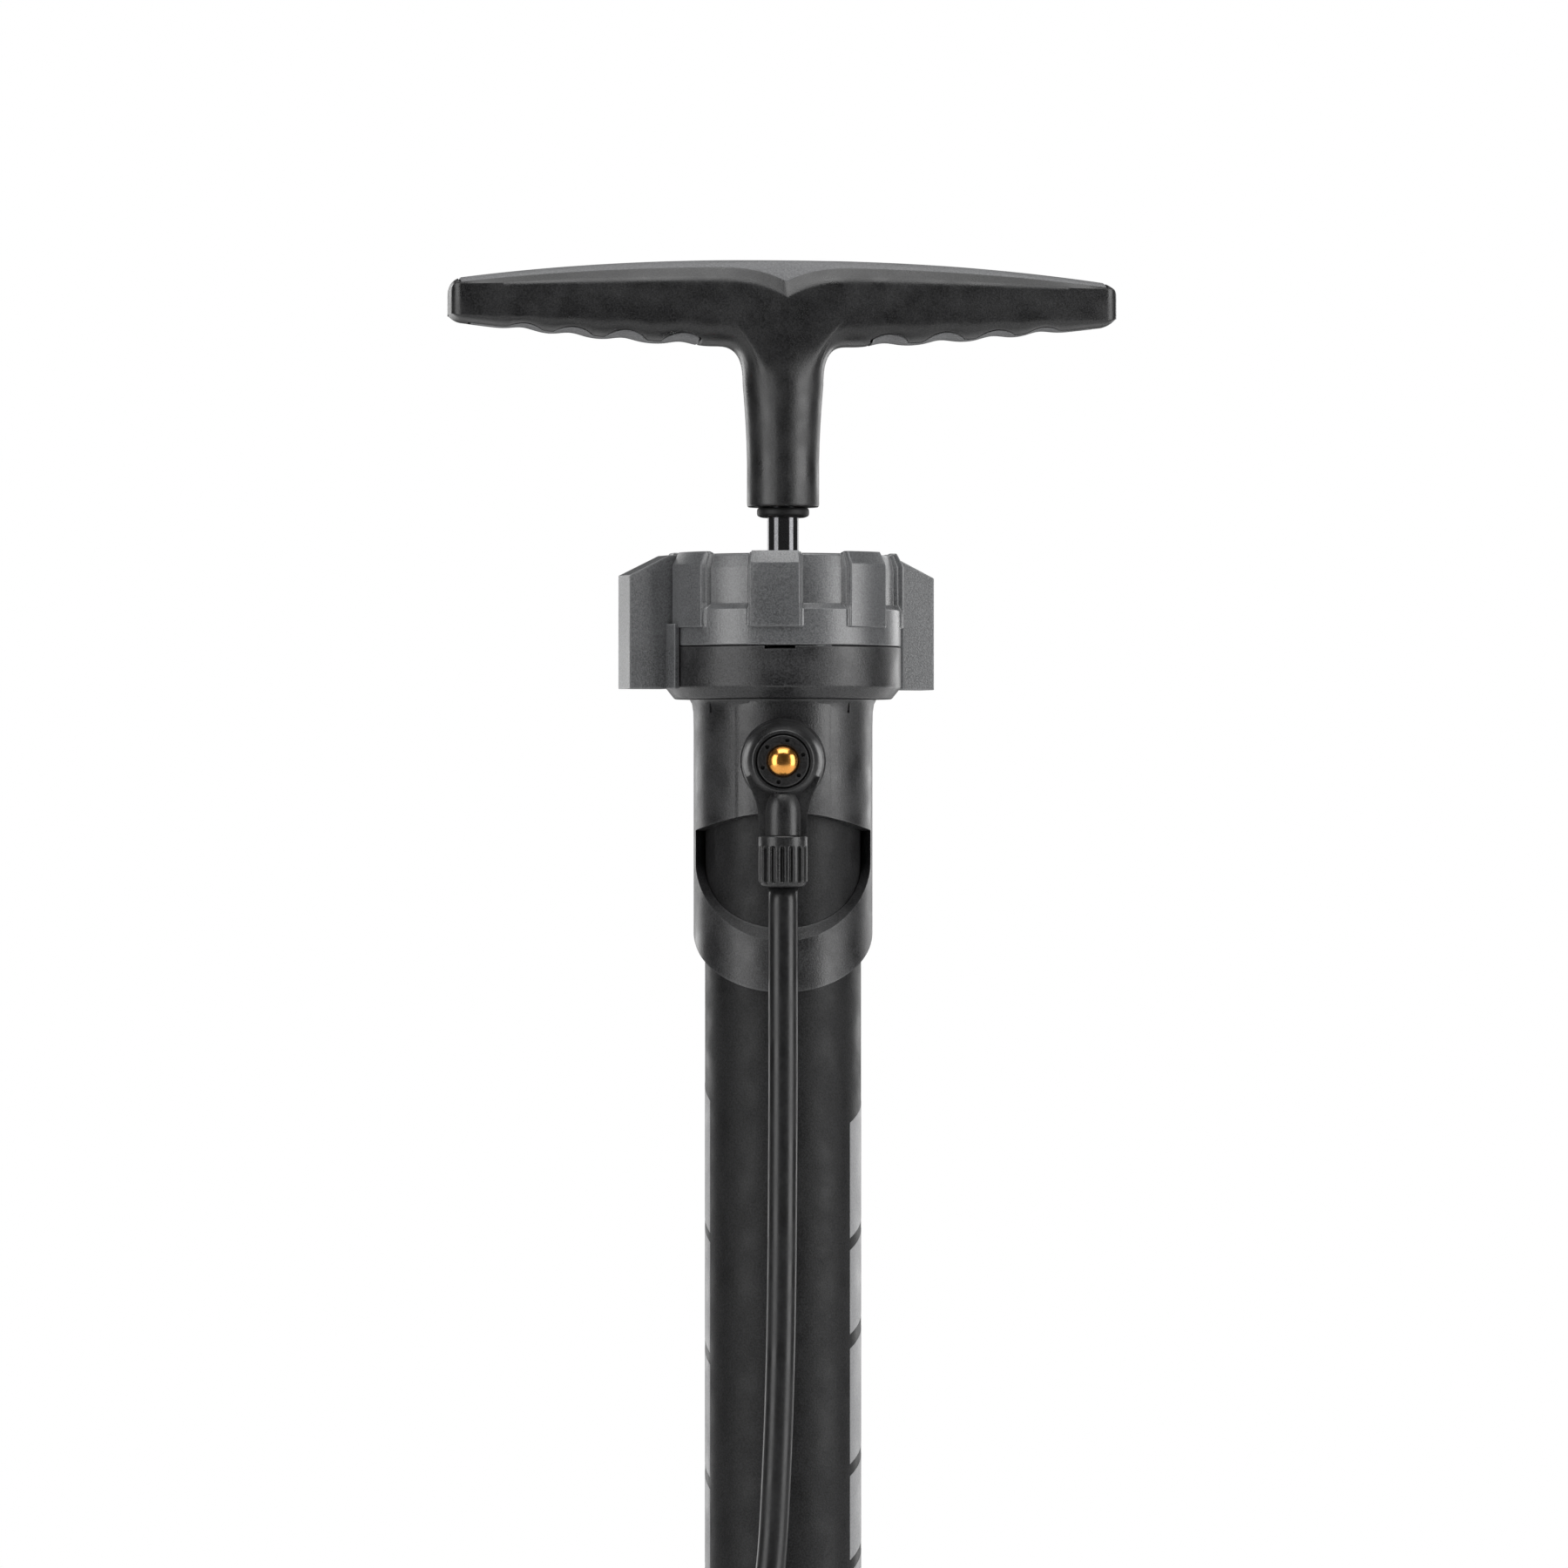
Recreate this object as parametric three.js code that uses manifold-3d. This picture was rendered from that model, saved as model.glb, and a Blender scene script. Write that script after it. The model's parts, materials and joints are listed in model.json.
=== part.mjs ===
// Tall track pump with a pressurised-chamber barrel, a T-handle, a gauge and mode ring on top,
// and a swivelling hose. Millimetres, +Z up, origin on the barrel's axis at the floor.
// The hose swivel is on the -Y side (the rear); the pump head is docked on the +Y side.

import * as THREE from "three";
import { mergeVertices } from "three/addons/utils/BufferGeometryUtils.js";
import Module from "manifold-3d";

const wasm = await Module();
wasm.setup();

// ---------------------------------------------------------------- driving dimensions

const gap = 0.3; // between pieces that touch

const base = {
  halfX: 130,
  halfY: 118,
  waistY: 52,
  bottom: 8,
  thickness: 5,
  footX: 110,
  footY: 97,
  screwRadius: 42,
};
const plateTop = base.bottom + base.thickness;

const barrel = { radius: 32.65, wall: 2, bottom: 20.3, top: 560 };
const cylinder = { radius: 18, wall: 2, bottom: 30.3, top: 548 };
const bore = barrel.radius - barrel.wall - gap; // radius of what fits inside the barrel
const rodRadius = 6.55;

const casing = { radius: 37.4, bottomRear: 434.8, bottomSide: 459, top: 556.1, padRear: 38.4 };
const housing = { radius: 49.3, bottom: 556.4, chamferTop: 561.3, top: 578, bottomRadius: 45.4 };
const ring = {
  bottom: 578.3,
  top: 617.3,
  bore: 44.2,
  skirt: 49.4,
  block: 50.2,
  recess: 46.4,
  blockBottom: 586.5,
  recessBottom: 594,
  wingRadius: 68.2,
  wingThickness: 14,
  wingBottom: 560.6,
  wingShoulder: 607.7,
  tabRadius: 51.9,
  tabWidth: 9, // degrees
  tabTop: 587.5,
  yaw: 21,
};
const gauge = { radius: 43.6, bottom: 580, top: 613, sleeve: 10.5, dial: 600, zeroAngle: -45 };
const handle = {
  halfLength: 140.1,
  top: 740,
  tipTop: 731,
  armBottom: 704,
  tipBottom: 712.4,
  halfDepth: 16,
  tipHalfDepth: 12.5,
  stemRadius: 15.1,
  stemBottom: 636.8,
  yaw: 7.4,
};
const swivel = { z: 530.4, baseRadius: 17.85, faceRadius: 12.5, inner: -40.6, outer: -57, hoseY: -50 };
const nut = { radius: 10.15, top: 499.7, bottom: 478.8 };
const hose = { radius: 6.1, sides: 10, steps: 38, loopBottom: 74, loopSide: -66 };
const head = { y: 54, z: 517, radius: 13, neckRadius: 8, hoseTop: 470 };

// ---------------------------------------------------------------- colours and finishes

const finishes = {
  steel: { color: 0x1c1d1f, roughness: 0.45, metalness: 0.6 },
  blackPlastic: { color: 0x1b1b1c, roughness: 0.55, metalness: 0 },
  greyPlastic: { color: 0x4b4c4e, roughness: 0.6, metalness: 0 },
  softGrip: { color: 0x505154, roughness: 0.75, metalness: 0 },
  rubber: { color: 0x141415, roughness: 0.8, metalness: 0 },
  barrelPaint: { color: 0x17181a, roughness: 0.5, metalness: 0.3 },
  blackChrome: { color: 0x0d0d0e, roughness: 0.15, metalness: 0.9 },
  aluminium: { color: 0xa9abae, roughness: 0.4, metalness: 0.9 },
  brass: { color: 0xc8963c, roughness: 0.25, metalness: 1 },
  dial: { color: 0xe8e8e4, roughness: 0.6, metalness: 0 },
  pointer: { color: 0xb5281e, roughness: 0.5, metalness: 0 },
  lens: { color: 0xdfe6ea, roughness: 0.05, metalness: 0 },
};

// ---------------------------------------------------------------- solids

function toSolid(geometry) {
  const bare = geometry.clone();
  bare.deleteAttribute("normal");
  bare.deleteAttribute("uv");
  const merged = mergeVertices(bare, 1e-4);
  const index = Array.from(merged.index.array);
  const faces = [];
  for (let i = 0; i < index.length; i += 3) {
    const [a, b, c] = index.slice(i, i + 3);
    if (a !== b && b !== c && c !== a) faces.push(a, b, c);
  }
  const vertProperties = new Float32Array(merged.attributes.position.array);
  const solidOf = (triVerts) =>
    new wasm.Manifold(new wasm.Mesh({ numProp: 3, vertProperties, triVerts: new Uint32Array(triVerts) }));
  const solid = solidOf(faces);
  if (solid.volume() > 0) return solid;
  const flipped = [];
  for (let i = 0; i < faces.length; i += 3) flipped.push(faces[i], faces[i + 2], faces[i + 1]);
  return solidOf(flipped);
}

function toGeometry(solid) {
  const mesh = solid.getMesh();
  const geometry = new THREE.BufferGeometry();
  geometry.setAttribute("position", new THREE.BufferAttribute(new Float32Array(mesh.vertProperties), 3));
  geometry.setIndex(new THREE.BufferAttribute(new Uint32Array(mesh.triVerts), 1));
  geometry.computeVertexNormals();
  return geometry;
}

const cut = (body, ...tools) =>
  toGeometry(tools.reduce((solid, tool) => solid.subtract(toSolid(tool)), toSolid(body)));
const join = (body, ...others) =>
  toGeometry(others.reduce((solid, other) => solid.add(toSolid(other)), toSolid(body)));
const common = (body, other) => toGeometry(toSolid(body).intersect(toSolid(other)));

// A solid of revolution about Z. The profile is a list of [radius, z] that starts and ends on the
// axis; closed = true joins its last point to its first, for a ring.
function turned(profile, segments, closed = false) {
  const points = profile.map(([radius, z]) => new THREE.Vector2(radius, z));
  if (closed) points.push(points[0].clone());
  const geometry = new THREE.LatheGeometry(points, segments);
  geometry.rotateX(Math.PI / 2);
  return toGeometry(toSolid(geometry));
}

const tube = (inner, outer, bottom, top, segments) =>
  turned([[inner, bottom], [outer, bottom], [outer, top], [inner, top]], segments, true);

const rod = (radius, bottom, top, segments = 16) =>
  turned([[0, bottom], [radius, bottom], [radius, top], [0, top]], segments);

// An outline in X and Z, extruded along Y from yFrom to yTo.
function slabAlongY(shape, yFrom, yTo, curveSegments = 8) {
  const geometry = new THREE.ExtrudeGeometry(shape, { depth: yTo - yFrom, bevelEnabled: false, curveSegments });
  geometry.rotateX(Math.PI / 2);
  geometry.translate(0, yTo, 0);
  return geometry;
}

// An outline in X and Y, extruded along Z from bottom to top.
function slab(shape, bottom, top, bevel = 0, curveSegments = 6) {
  const geometry = new THREE.ExtrudeGeometry(shape, {
    depth: top - bottom - 2 * bevel,
    bevelEnabled: bevel > 0,
    bevelThickness: bevel,
    bevelSize: bevel,
    bevelOffset: -bevel,
    bevelSegments: 1,
    curveSegments,
  });
  geometry.translate(0, 0, bottom + bevel);
  return geometry;
}

function box(x0, x1, y0, y1, z0, z1) {
  const geometry = new THREE.BoxGeometry(x1 - x0, y1 - y0, z1 - z0);
  geometry.translate((x0 + x1) / 2, (y0 + y1) / 2, (z0 + z1) / 2);
  return geometry;
}

function polygon(points) {
  const shape = new THREE.Shape();
  shape.setFromPoints(points.map(([x, y]) => new THREE.Vector2(x, y)));
  return shape;
}

// Turns a solid made about Z so that its axis is Y, with +Z becoming -Y, and moves it to height z.
function onRearAxis(geometry, z) {
  geometry.rotateX(Math.PI / 2);
  geometry.translate(0, 0, z);
  return geometry;
}

// The same with its axis along X, with +Z becoming +X, centred on (y, z).
function onSideAxis(geometry, y, z) {
  geometry.rotateY(Math.PI / 2);
  geometry.translate(0, y, z);
  return geometry;
}

// A closed body through a row of rings, each with the same number of points.
function loft(rings) {
  const count = rings[0].length;
  const positions = rings.flat(2);
  const index = [];
  for (let r = 0; r < rings.length - 1; r++) {
    for (let i = 0; i < count; i++) {
      const next = (i + 1) % count;
      const [a, b] = [r * count + i, r * count + next];
      index.push(a, b, b + count, a, b + count, a + count);
    }
  }
  const last = (rings.length - 1) * count;
  for (let i = 1; i < count - 1; i++) {
    index.push(0, i + 1, i);
    index.push(last, last + i, last + i + 1);
  }
  const geometry = new THREE.BufferGeometry();
  geometry.setAttribute("position", new THREE.Float32BufferAttribute(positions, 3));
  geometry.setIndex(index);
  return geometry;
}

function spring(radius, wire, bottom, top, turns) {
  class Helix extends THREE.Curve {
    getPoint(t) {
      const angle = 2 * Math.PI * turns * t;
      return new THREE.Vector3(radius * Math.cos(angle), radius * Math.sin(angle), bottom + (top - bottom) * t);
    }
  }
  const section = new THREE.Shape();
  section.absarc(0, 0, wire, 0, 2 * Math.PI);
  const geometry = new THREE.ExtrudeGeometry(section, {
    extrudePath: new Helix(),
    steps: turns * 6,
    curveSegments: 3,
    bevelEnabled: false,
  });
  return toGeometry(toSolid(geometry));
}

// ---------------------------------------------------------------- the group and its nodes

const pump = new THREE.Group();

function addPiece(name, geometry, finish, parent = pump) {
  const mesh = new THREE.Mesh(geometry, new THREE.MeshStandardMaterial(finishes[finish]));
  mesh.name = name;
  parent.add(mesh);
  return mesh;
}

// ---------------------------------------------------------------- base

function footBase() {
  const { halfX, halfY, waistY } = base;
  const shape = new THREE.Shape();
  shape.moveTo(0, waistY);
  shape.quadraticCurveTo(46, waistY, 74, 88);
  shape.quadraticCurveTo(92, halfY, halfX - 24, halfY);
  shape.quadraticCurveTo(halfX, halfY, halfX, halfY - 24);
  shape.lineTo(halfX, -(halfY - 24));
  shape.quadraticCurveTo(halfX, -halfY, halfX - 24, -halfY);
  shape.quadraticCurveTo(92, -halfY, 74, -88);
  shape.quadraticCurveTo(46, -waistY, 0, -waistY);
  shape.quadraticCurveTo(-46, -waistY, -74, -88);
  shape.quadraticCurveTo(-92, -halfY, -(halfX - 24), -halfY);
  shape.quadraticCurveTo(-halfX, -halfY, -halfX, -(halfY - 24));
  shape.lineTo(-halfX, halfY - 24);
  shape.quadraticCurveTo(-halfX, halfY, -(halfX - 24), halfY);
  shape.quadraticCurveTo(-92, halfY, -74, 88);
  shape.quadraticCurveTo(-46, waistY, 0, waistY);
  const hole = (x, y, radius) => {
    const path = new THREE.Path();
    path.absarc(x, y, radius, 0, 2 * Math.PI, false);
    shape.holes.push(path);
  };
  for (const [x, y] of footPlaces()) hole(x, y, 4.7);
  for (const [x, y] of screwPlaces()) hole(x, y, 2.8);
  addPiece("foot_base", slab(shape, base.bottom, plateTop, 0, 4), "steel");
}

function footPlaces() {
  return [[1, 1], [-1, 1], [-1, -1], [1, -1]].map(([i, j]) => [i * base.footX, j * base.footY]);
}

function screwPlaces() {
  return [90, 210, 330].map((degrees) => {
    const angle = (degrees * Math.PI) / 180;
    return [base.screwRadius * Math.cos(angle), base.screwRadius * Math.sin(angle)];
  });
}

// A push-in foot: the pad under the plate, a neck through its hole, and a flared head on top.
function rubberFeet() {
  footPlaces().forEach(([x, y], i) => {
    const profile = [
      [0, 0], [11, 0], [12, 1.2], [12, base.bottom - gap], [4, base.bottom - gap],
      [4, plateTop + gap], [5.6, plateTop + gap], [4.4, plateTop + 2.6], [0, plateTop + 2.6],
    ];
    addPiece(`rubber_foot_${i + 1}`, turned(profile, 12), "rubber").position.set(x, y, 0);
  });
}

// Ribbed treads that the user stands on, one on each wing of the base.
function treadPads() {
  const ribs = 13;
  const pitch = 11.6;
  const floor = plateTop + gap;
  for (const [side, name] of [[-1, "tread_pad_left"], [1, "tread_pad_right"]]) {
    const outline = [];
    const start = (-ribs * pitch) / 2;
    for (let i = 0; i < ribs; i++) {
      const y = start + i * pitch;
      outline.push([y + 1.6, floor + 1.6], [y + 2.6, floor + 3.6], [y + 9, floor + 3.6], [y + 10, floor + 1.6]);
    }
    const shape = polygon([[start, floor], [start, floor + 1.6], ...outline, [-start, floor + 1.6], [-start, floor]]);
    const geometry = new THREE.ExtrudeGeometry(shape, { depth: 44, bevelEnabled: false });
    // (u, v, depth) becomes (depth, u, v)
    geometry.applyMatrix4(new THREE.Matrix4().set(0, 0, 1, 0, 1, 0, 0, 0, 0, 1, 0, 0, 0, 0, 0, 1));
    geometry.translate(side * 96 - 22, 0, 0);
    addPiece(name, toGeometry(toSolid(geometry)), "rubber");
  }
}

function barrelSocket() {
  const inner = barrel.radius + gap;
  const profile = [
    [0, plateTop + gap], [51, plateTop + gap], [51, 18], [47, 24], [42, 36], [39.5, 50], [38.6, 60],
    [37.6, 62], [inner, 62], [inner, 20], [0, 20],
  ];
  const holes = screwPlaces().map(([x, y]) => {
    const hole = rod(2.5, plateTop - 1, 32, 8);
    hole.translate(x, y, 0);
    return hole;
  });
  addPiece("barrel_socket", cut(turned(profile, 30), ...holes), "blackPlastic");
}

function baseScrews() {
  screwPlaces().forEach(([x, y], i) => {
    const top = base.bottom - gap;
    const profile = [
      [0, top - 1.4], [1.6, top - 1.4], [1.6, top - 2.8], [4, top - 2.8], [4.8, top - 2], [4.8, top],
      [2.2, top], [2.2, 29], [1.4, 30], [0, 30],
    ];
    addPiece(`base_screw_${i + 1}`, turned(profile, 8), "steel").position.set(x, y, 0);
  });
}

// A collar above the socket with an arm and a cradle that carries the bottom of the hose's loop.
function hoseHook() {
  const bottom = 62.4;
  const collar = tube(barrel.radius + gap, 37, bottom, 80, 30);
  const cradleFloor = hose.loopBottom - hose.radius - 1;
  const [left, right] = [hose.loopSide - 8.2, hose.loopSide + 8.2];
  const cradle = polygon([
    [-34.6, bottom], [left - 3.4, bottom], [left - 3.4, hose.loopBottom + 3], [left - 1, hose.loopBottom + 5],
    [left, hose.loopBottom + 3], [left, cradleFloor + 2.5], [left + 2.5, cradleFloor],
    [right - 2.5, cradleFloor], [right, cradleFloor + 2.5], [right, 78], [-34.6, 78],
  ]);
  addPiece("hose_hook", join(collar, slabAlongY(cradle, -6, 6)), "blackPlastic");
}

// ---------------------------------------------------------------- chamber and pump cylinder

function chamberTube() {
  const body = tube(barrel.radius - barrel.wall, barrel.radius, barrel.bottom, barrel.top, 30);
  const portHole = onRearAxis(rod(5.6, 25, 40, 16), swivel.z);
  addPiece("chamber_tube", cut(body, portHole), "barrelPaint");
}

function pumpCylinder() {
  const { radius, wall, bottom, top } = cylinder;
  addPiece("pump_cylinder", tube(radius - wall, radius, bottom, top, 20), "aluminium");
}

// Closes both tubes at the bottom and holds the check valve. Air leaves the cylinder through
// the central port, passes the poppet and rises into the chamber through a side port.
function lowerEndPlug() {
  const grooveIn = cylinder.radius - cylinder.wall - gap;
  const grooveOut = cylinder.radius + gap;
  const profile = [
    [5, 24], [bore, 24], [bore, 39], [27.7, 39], [27.7, 42.4], [bore, 42.4], [bore, 46],
    [grooveOut, 46], [grooveOut, 30], [grooveIn, 30], [grooveIn, 35.4], [13.1, 35.4], [13.1, 38],
    [grooveIn, 38], [grooveIn, 41], [2.5, 41], [2.5, 34.4], [5, 34.4],
  ];
  const sideDrilling = box(3, 25.5, -1.8, 1.8, 26.6, 29.6);
  const riser = rod(2.2, 27, 50, 8);
  riser.translate(23.5, 0, 0);
  addPiece("lower_end_plug", cut(turned(profile, 20, true), sideDrilling, riser), "aluminium");
}

function oRing(name, radius, wire, z, segments = 24) {
  const geometry = new THREE.TorusGeometry(radius, wire, 5, segments);
  addPiece(name, toGeometry(toSolid(geometry)), "rubber").position.z = z;
}

function checkValve() {
  const poppet = [[0, 29], [1.6, 29], [1.6, 31.4], [4.4, 31.4], [4.4, 32.6], [2.6, 34.1], [0, 34.1]];
  addPiece("check_valve_poppet", turned(poppet, 12), "rubber");
  addPiece("check_valve_spring", spring(3.2, 0.4, 27.6, 30.8, 3), "steel");
  const retainer = [[0, 24.4], [4.7, 24.4], [4.7, 26.8], [1.2, 26.8], [1.2, 27.5], [0, 27.5]];
  addPiece("valve_retainer", turned(retainer, 12), "brass");
}

// ---------------------------------------------------------------- piston, rod and handle

const turning = new THREE.Group(); // the handle with everything that turns with it
turning.rotation.z = (handle.yaw * Math.PI) / 180;
pump.add(turning);

function piston() {
  const inner = 4;
  const profile = [
    [inner, 47.3], [15.2, 47.3], [15.2, 49.2], [13.7, 49.2], [13.7, 53.8], [15.2, 53.8], [15.2, 55.5],
    [11.7, 55.5], [11.7, 60.5], [15.2, 60.5], [15.2, 62], [inner, 62],
  ];
  addPiece("piston_head", turned(profile, 20, true), "aluminium", turning);
  addPiece("piston_wear_ring", tube(14.1, 15.6, 49.5, 53.5, 20), "rubber");
  const cup = [[12.1, 55.8], [15.4, 55.8], [15.7, 60.2], [14.6, 60.2], [14, 57.8], [12.1, 57.8]];
  addPiece("piston_seal", turned(cup, 20, true), "rubber");
  addPiece("piston_nut", cut(rod(6.5, 43, 47, 6), rod(4.1, 40, 50, 12)), "steel", turning);
}

function pistonRod() {
  const top = 690;
  const profile = [
    [0, 42.4], [3.7, 42.4], [3.7, 62.3], [rodRadius, 62.3], [rodRadius, top - 1], [5.6, top],
    [3, top], [3, 668], [0, 668],
  ];
  addPiece("piston_rod", turned(profile, 20), "blackChrome", turning);
  const washer = [
    [rodRadius + gap, 632.4], [9, 632.4], [10.4, 633.1], [10.95, 634.4], [10.95, 635.6],
    [10.2, 636.5], [rodRadius + gap, 636.5],
  ];
  addPiece("bump_washer", turned(washer, 16, true), "rubber", turning);
}

const armTop = (x) => handle.top - (handle.top - handle.tipTop) * (Math.abs(x) / handle.halfLength) ** 2.2;

function armBottom(x) {
  const t = Math.max(0, (Math.abs(x) - 30) / (handle.halfLength - 30));
  return handle.armBottom + (handle.tipBottom - handle.armBottom) * t;
}

function armHalfDepth(x) {
  const t = (Math.abs(x) / handle.halfLength) ** 3;
  return handle.halfDepth + (handle.tipHalfDepth - handle.halfDepth) * t;
}

// The T's crossbar: rounded sections from tip to tip, drawn in at both ends.
function crossbar() {
  const stations = [-140.1, -139, -136, -120, -90, -60, -30, 0, 30, 60, 90, 120, 136, 139, 140.1];
  const count = 18;
  return loft(
    stations.map((x) => {
      const fromTip = handle.halfLength - Math.abs(x);
      const inset = 3.4 * (1 - Math.sqrt(Math.min(1, fromTip / 3.4)));
      const middle = (armTop(x) + armBottom(x)) / 2;
      const halfHeight = (armTop(x) - armBottom(x)) / 2 - inset;
      const halfDepth = armHalfDepth(x) - inset;
      return Array.from({ length: count }, (_, i) => {
        const angle = (2 * Math.PI * i) / count;
        const round = (value) => Math.sign(value) * Math.abs(value) ** 0.8;
        return [x, halfDepth * round(Math.cos(angle)), middle + halfHeight * round(Math.sin(angle))];
      });
    }),
  );
}

// The region above the seam between the black core and the soft pad on top.
function topPadRegion(lower) {
  const seam = (x) => armTop(x) - (Math.abs(x) > 60 ? 3.4 : 4.4) - 5 * Math.exp(-((x / 16) ** 2));
  const outline = [];
  for (let i = -17; i <= 17; i++) outline.push([i * 8, seam(i * 8) - lower]);
  return slabAlongY(polygon([[-136 - lower, 760], ...outline, [136 + lower, 760]]), -30, 30);
}

// The slot under each arm that holds its finger pad.
function fingerSlot(side, clearance) {
  const outline = [];
  for (let i = 0; i <= 12; i++) {
    const x = 36 - clearance + (i * (96 + 2 * clearance)) / 12;
    outline.push([side * x, armBottom(x) + 6 + clearance]);
  }
  const ends = [[side * (132 + clearance), 690], [side * (36 - clearance), 690]];
  return slabAlongY(polygon([...outline, ...ends]), -10.5 - clearance, 10.5 + clearance);
}

function tHandle() {
  const stem = turned([
    [0, handle.stemBottom], [14.4, handle.stemBottom], [handle.stemRadius, 638], [handle.stemRadius, 655],
    [15.9, 674], [17, 689], [20, 700], [18, 712], [0, 720],
  ], 24);
  const shoulders = slabAlongY(
    polygon([[-34, 714], [-31, 704.6], [-24, 700.5], [-19.5, 694], [-17.2, 684], [17.2, 684], [19.5, 694],
      [24, 700.5], [31, 704.6], [34, 714]]), -11, 11);
  const bar = crossbar();
  const rodSocket = rod(rodRadius + gap, 630, 690.3, 16);
  const boltWay = rod(3, 680, 730, 10);
  const boltSeat = rod(5.6, 712, 745, 10);
  const core = cut(join(bar, shoulders, stem), topPadRegion(gap), fingerSlot(1, gap), fingerSlot(-1, gap),
    rodSocket, boltWay, boltSeat);
  addPiece("handle_core", core, "blackPlastic", turning);
  addPiece("handle_top_pad", common(bar, topPadRegion(0)), "softGrip", turning);
  for (const [side, name] of [[-1, "finger_pad_left"], [1, "finger_pad_right"]]) {
    addPiece(name, common(bar, fingerSlot(side, 0)), "softGrip", turning);
  }
  const bolt = [[0, 670], [2.6, 670], [2.6, 712.3], [5.2, 712.3], [5.2, 717], [2.4, 717], [2.4, 714.6], [0, 714.6]];
  addPiece("handle_bolt", turned(bolt, 10), "steel", turning);
}

// ---------------------------------------------------------------- manifold, casing and housing

function topManifold() {
  const grooveIn = cylinder.radius - cylinder.wall - gap;
  const grooveOut = cylinder.radius + gap;
  const profile = [
    [9, 540], [grooveIn, 540], [grooveIn, 548.3], [grooveOut, 548.3], [grooveOut, 516], [bore, 516],
    [bore, 560.3], [43, 560.3], [43, 574], [9, 574],
  ];
  const hosePort = onRearAxis(rod(4.4, 22, 40, 16), swivel.z);
  const riser = rod(2.2, 528, 580, 8);
  riser.translate(0, -25, 0);
  addPiece("top_manifold", cut(turned(profile, 24, true), hosePort, riser), "aluminium");
  addPiece("rod_guide_bush", tube(rodRadius + gap, 8.7, 540, 574, 16), "blackPlastic");
  addPiece("rod_wiper", tube(rodRadius + gap, 8.2, 603, 611, 16), "rubber");
}

function rearWindow() {
  const shape = new THREE.Shape();
  shape.moveTo(-36, 501.2);
  shape.quadraticCurveTo(0, 516.4, 36, 501.2);
  shape.lineTo(36, 491);
  shape.quadraticCurveTo(34.5, 477, 24, 466.5);
  shape.quadraticCurveTo(17, 461.3, 0, 461.3);
  shape.quadraticCurveTo(-17, 461.3, -24, 466.5);
  shape.quadraticCurveTo(-34.5, 477, -36, 491);
  return slabAlongY(shape, -50, -2, 6);
}

function upperCasing() {
  const { radius, bottomRear, bottomSide, top, padRear } = casing;
  const inner = barrel.radius + gap + 0.05;
  const shell = tube(inner, radius, bottomRear - 2, top, 36);
  const pad = cut(box(-20, 20, -padRear, -25, 510.5, top), rod(inner, 500, 560, 36));
  const slope = (bottomSide - bottomRear) / radius;
  // below a plane that rises from the rear edge to the front
  const under = new THREE.BoxGeometry(120, 140, 60);
  under.translate(0, 0, -30);
  under.rotateX(Math.atan(slope));
  under.translate(0, 0, bottomSide);
  const portHole = onRearAxis(rod(5.6, 25, 45, 16), swivel.z);
  addPiece("upper_casing", cut(join(shell, pad), under, rearWindow(), portHole), "blackPlastic");
}

function gaugeHousing() {
  const { radius, bottom, chamferTop, top, bottomRadius } = housing;
  const profile = [
    [barrel.radius + gap, bottom], [bottomRadius, bottom], [radius, chamferTop], [radius, top],
    [radius - 3, top], [radius - 3, 560], [barrel.radius + gap, 560],
  ];
  const notch = box(-7.6, 5.1, -60, -40, top - 1.3, top + 2);
  addPiece("gauge_housing", cut(turned(profile, 36, true), notch), "blackPlastic");
}

// ---------------------------------------------------------------- gauge

function gaugeParts() {
  const { radius, bottom, top, sleeve, dial } = gauge;
  const caseProfile = [
    [8.5, 574.3], [13, 574.3], [13, bottom], [radius, bottom], [radius, top], [radius - 2, top],
    [radius - 2, bottom + 3], [sleeve, bottom + 3], [sleeve, 611], [8.5, 611],
  ];
  addPiece("gauge_case", turned(caseProfile, 30, true), "blackPlastic");
  addPiece("gauge_dial", tube(15.2, radius - 2.3, dial, dial + 1, 24), "dial");
  addPiece("gauge_lens", tube(sleeve + gap, radius - 2.3, 609.2, 611.2, 24), "lens");
  const bezel = [
    [radius - 4.4, 611.5], [radius - 2.4, 611.5], [radius - 2.4, top + gap], [radius, top + gap], [radius - 0.6, 616.2],
    [radius - 2.8, 616.6], [radius - 4.4, 615],
  ];
  addPiece("gauge_bezel", turned(bezel, 30, true), "blackPlastic");
  const hub = tube(sleeve + 0.4, 14.4, dial + 1.4, dial + 5.4, 20);
  const arm = slab(polygon([[-1.8, 12.6], [1.8, 12.6], [0.5, 37.5], [-0.5, 37.5]]), dial + 3.4, dial + 4.8);
  const pointer = addPiece("gauge_pointer", join(hub, arm), "pointer");
  pointer.rotation.z = (gauge.zeroAngle * Math.PI) / 180;
}

// A C-shaped Bourdon tube whose free end drives the pointer's hub.
function bourdonTube() {
  const path = new THREE.CatmullRomCurve3(
    Array.from({ length: 13 }, (_, i) => {
      const angle = (i / 12) * 1.5 * Math.PI;
      const radius = 34 - 0.9 * i;
      return new THREE.Vector3(radius * Math.cos(angle), radius * Math.sin(angle), 590);
    }),
  );
  const section = new THREE.Shape();
  section.absellipse(0, 0, 3.6, 1.6, 0, 2 * Math.PI);
  const geometry = new THREE.ExtrudeGeometry(section, {
    extrudePath: path, steps: 16, curveSegments: 4, bevelEnabled: false,
  });
  addPiece("bourdon_tube", toGeometry(toSolid(geometry)), "brass");
}

// ---------------------------------------------------------------- mode ring

const ringGroup = new THREE.Group();
ringGroup.rotation.z = (ring.yaw * Math.PI) / 180;
pump.add(ringGroup);

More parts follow.
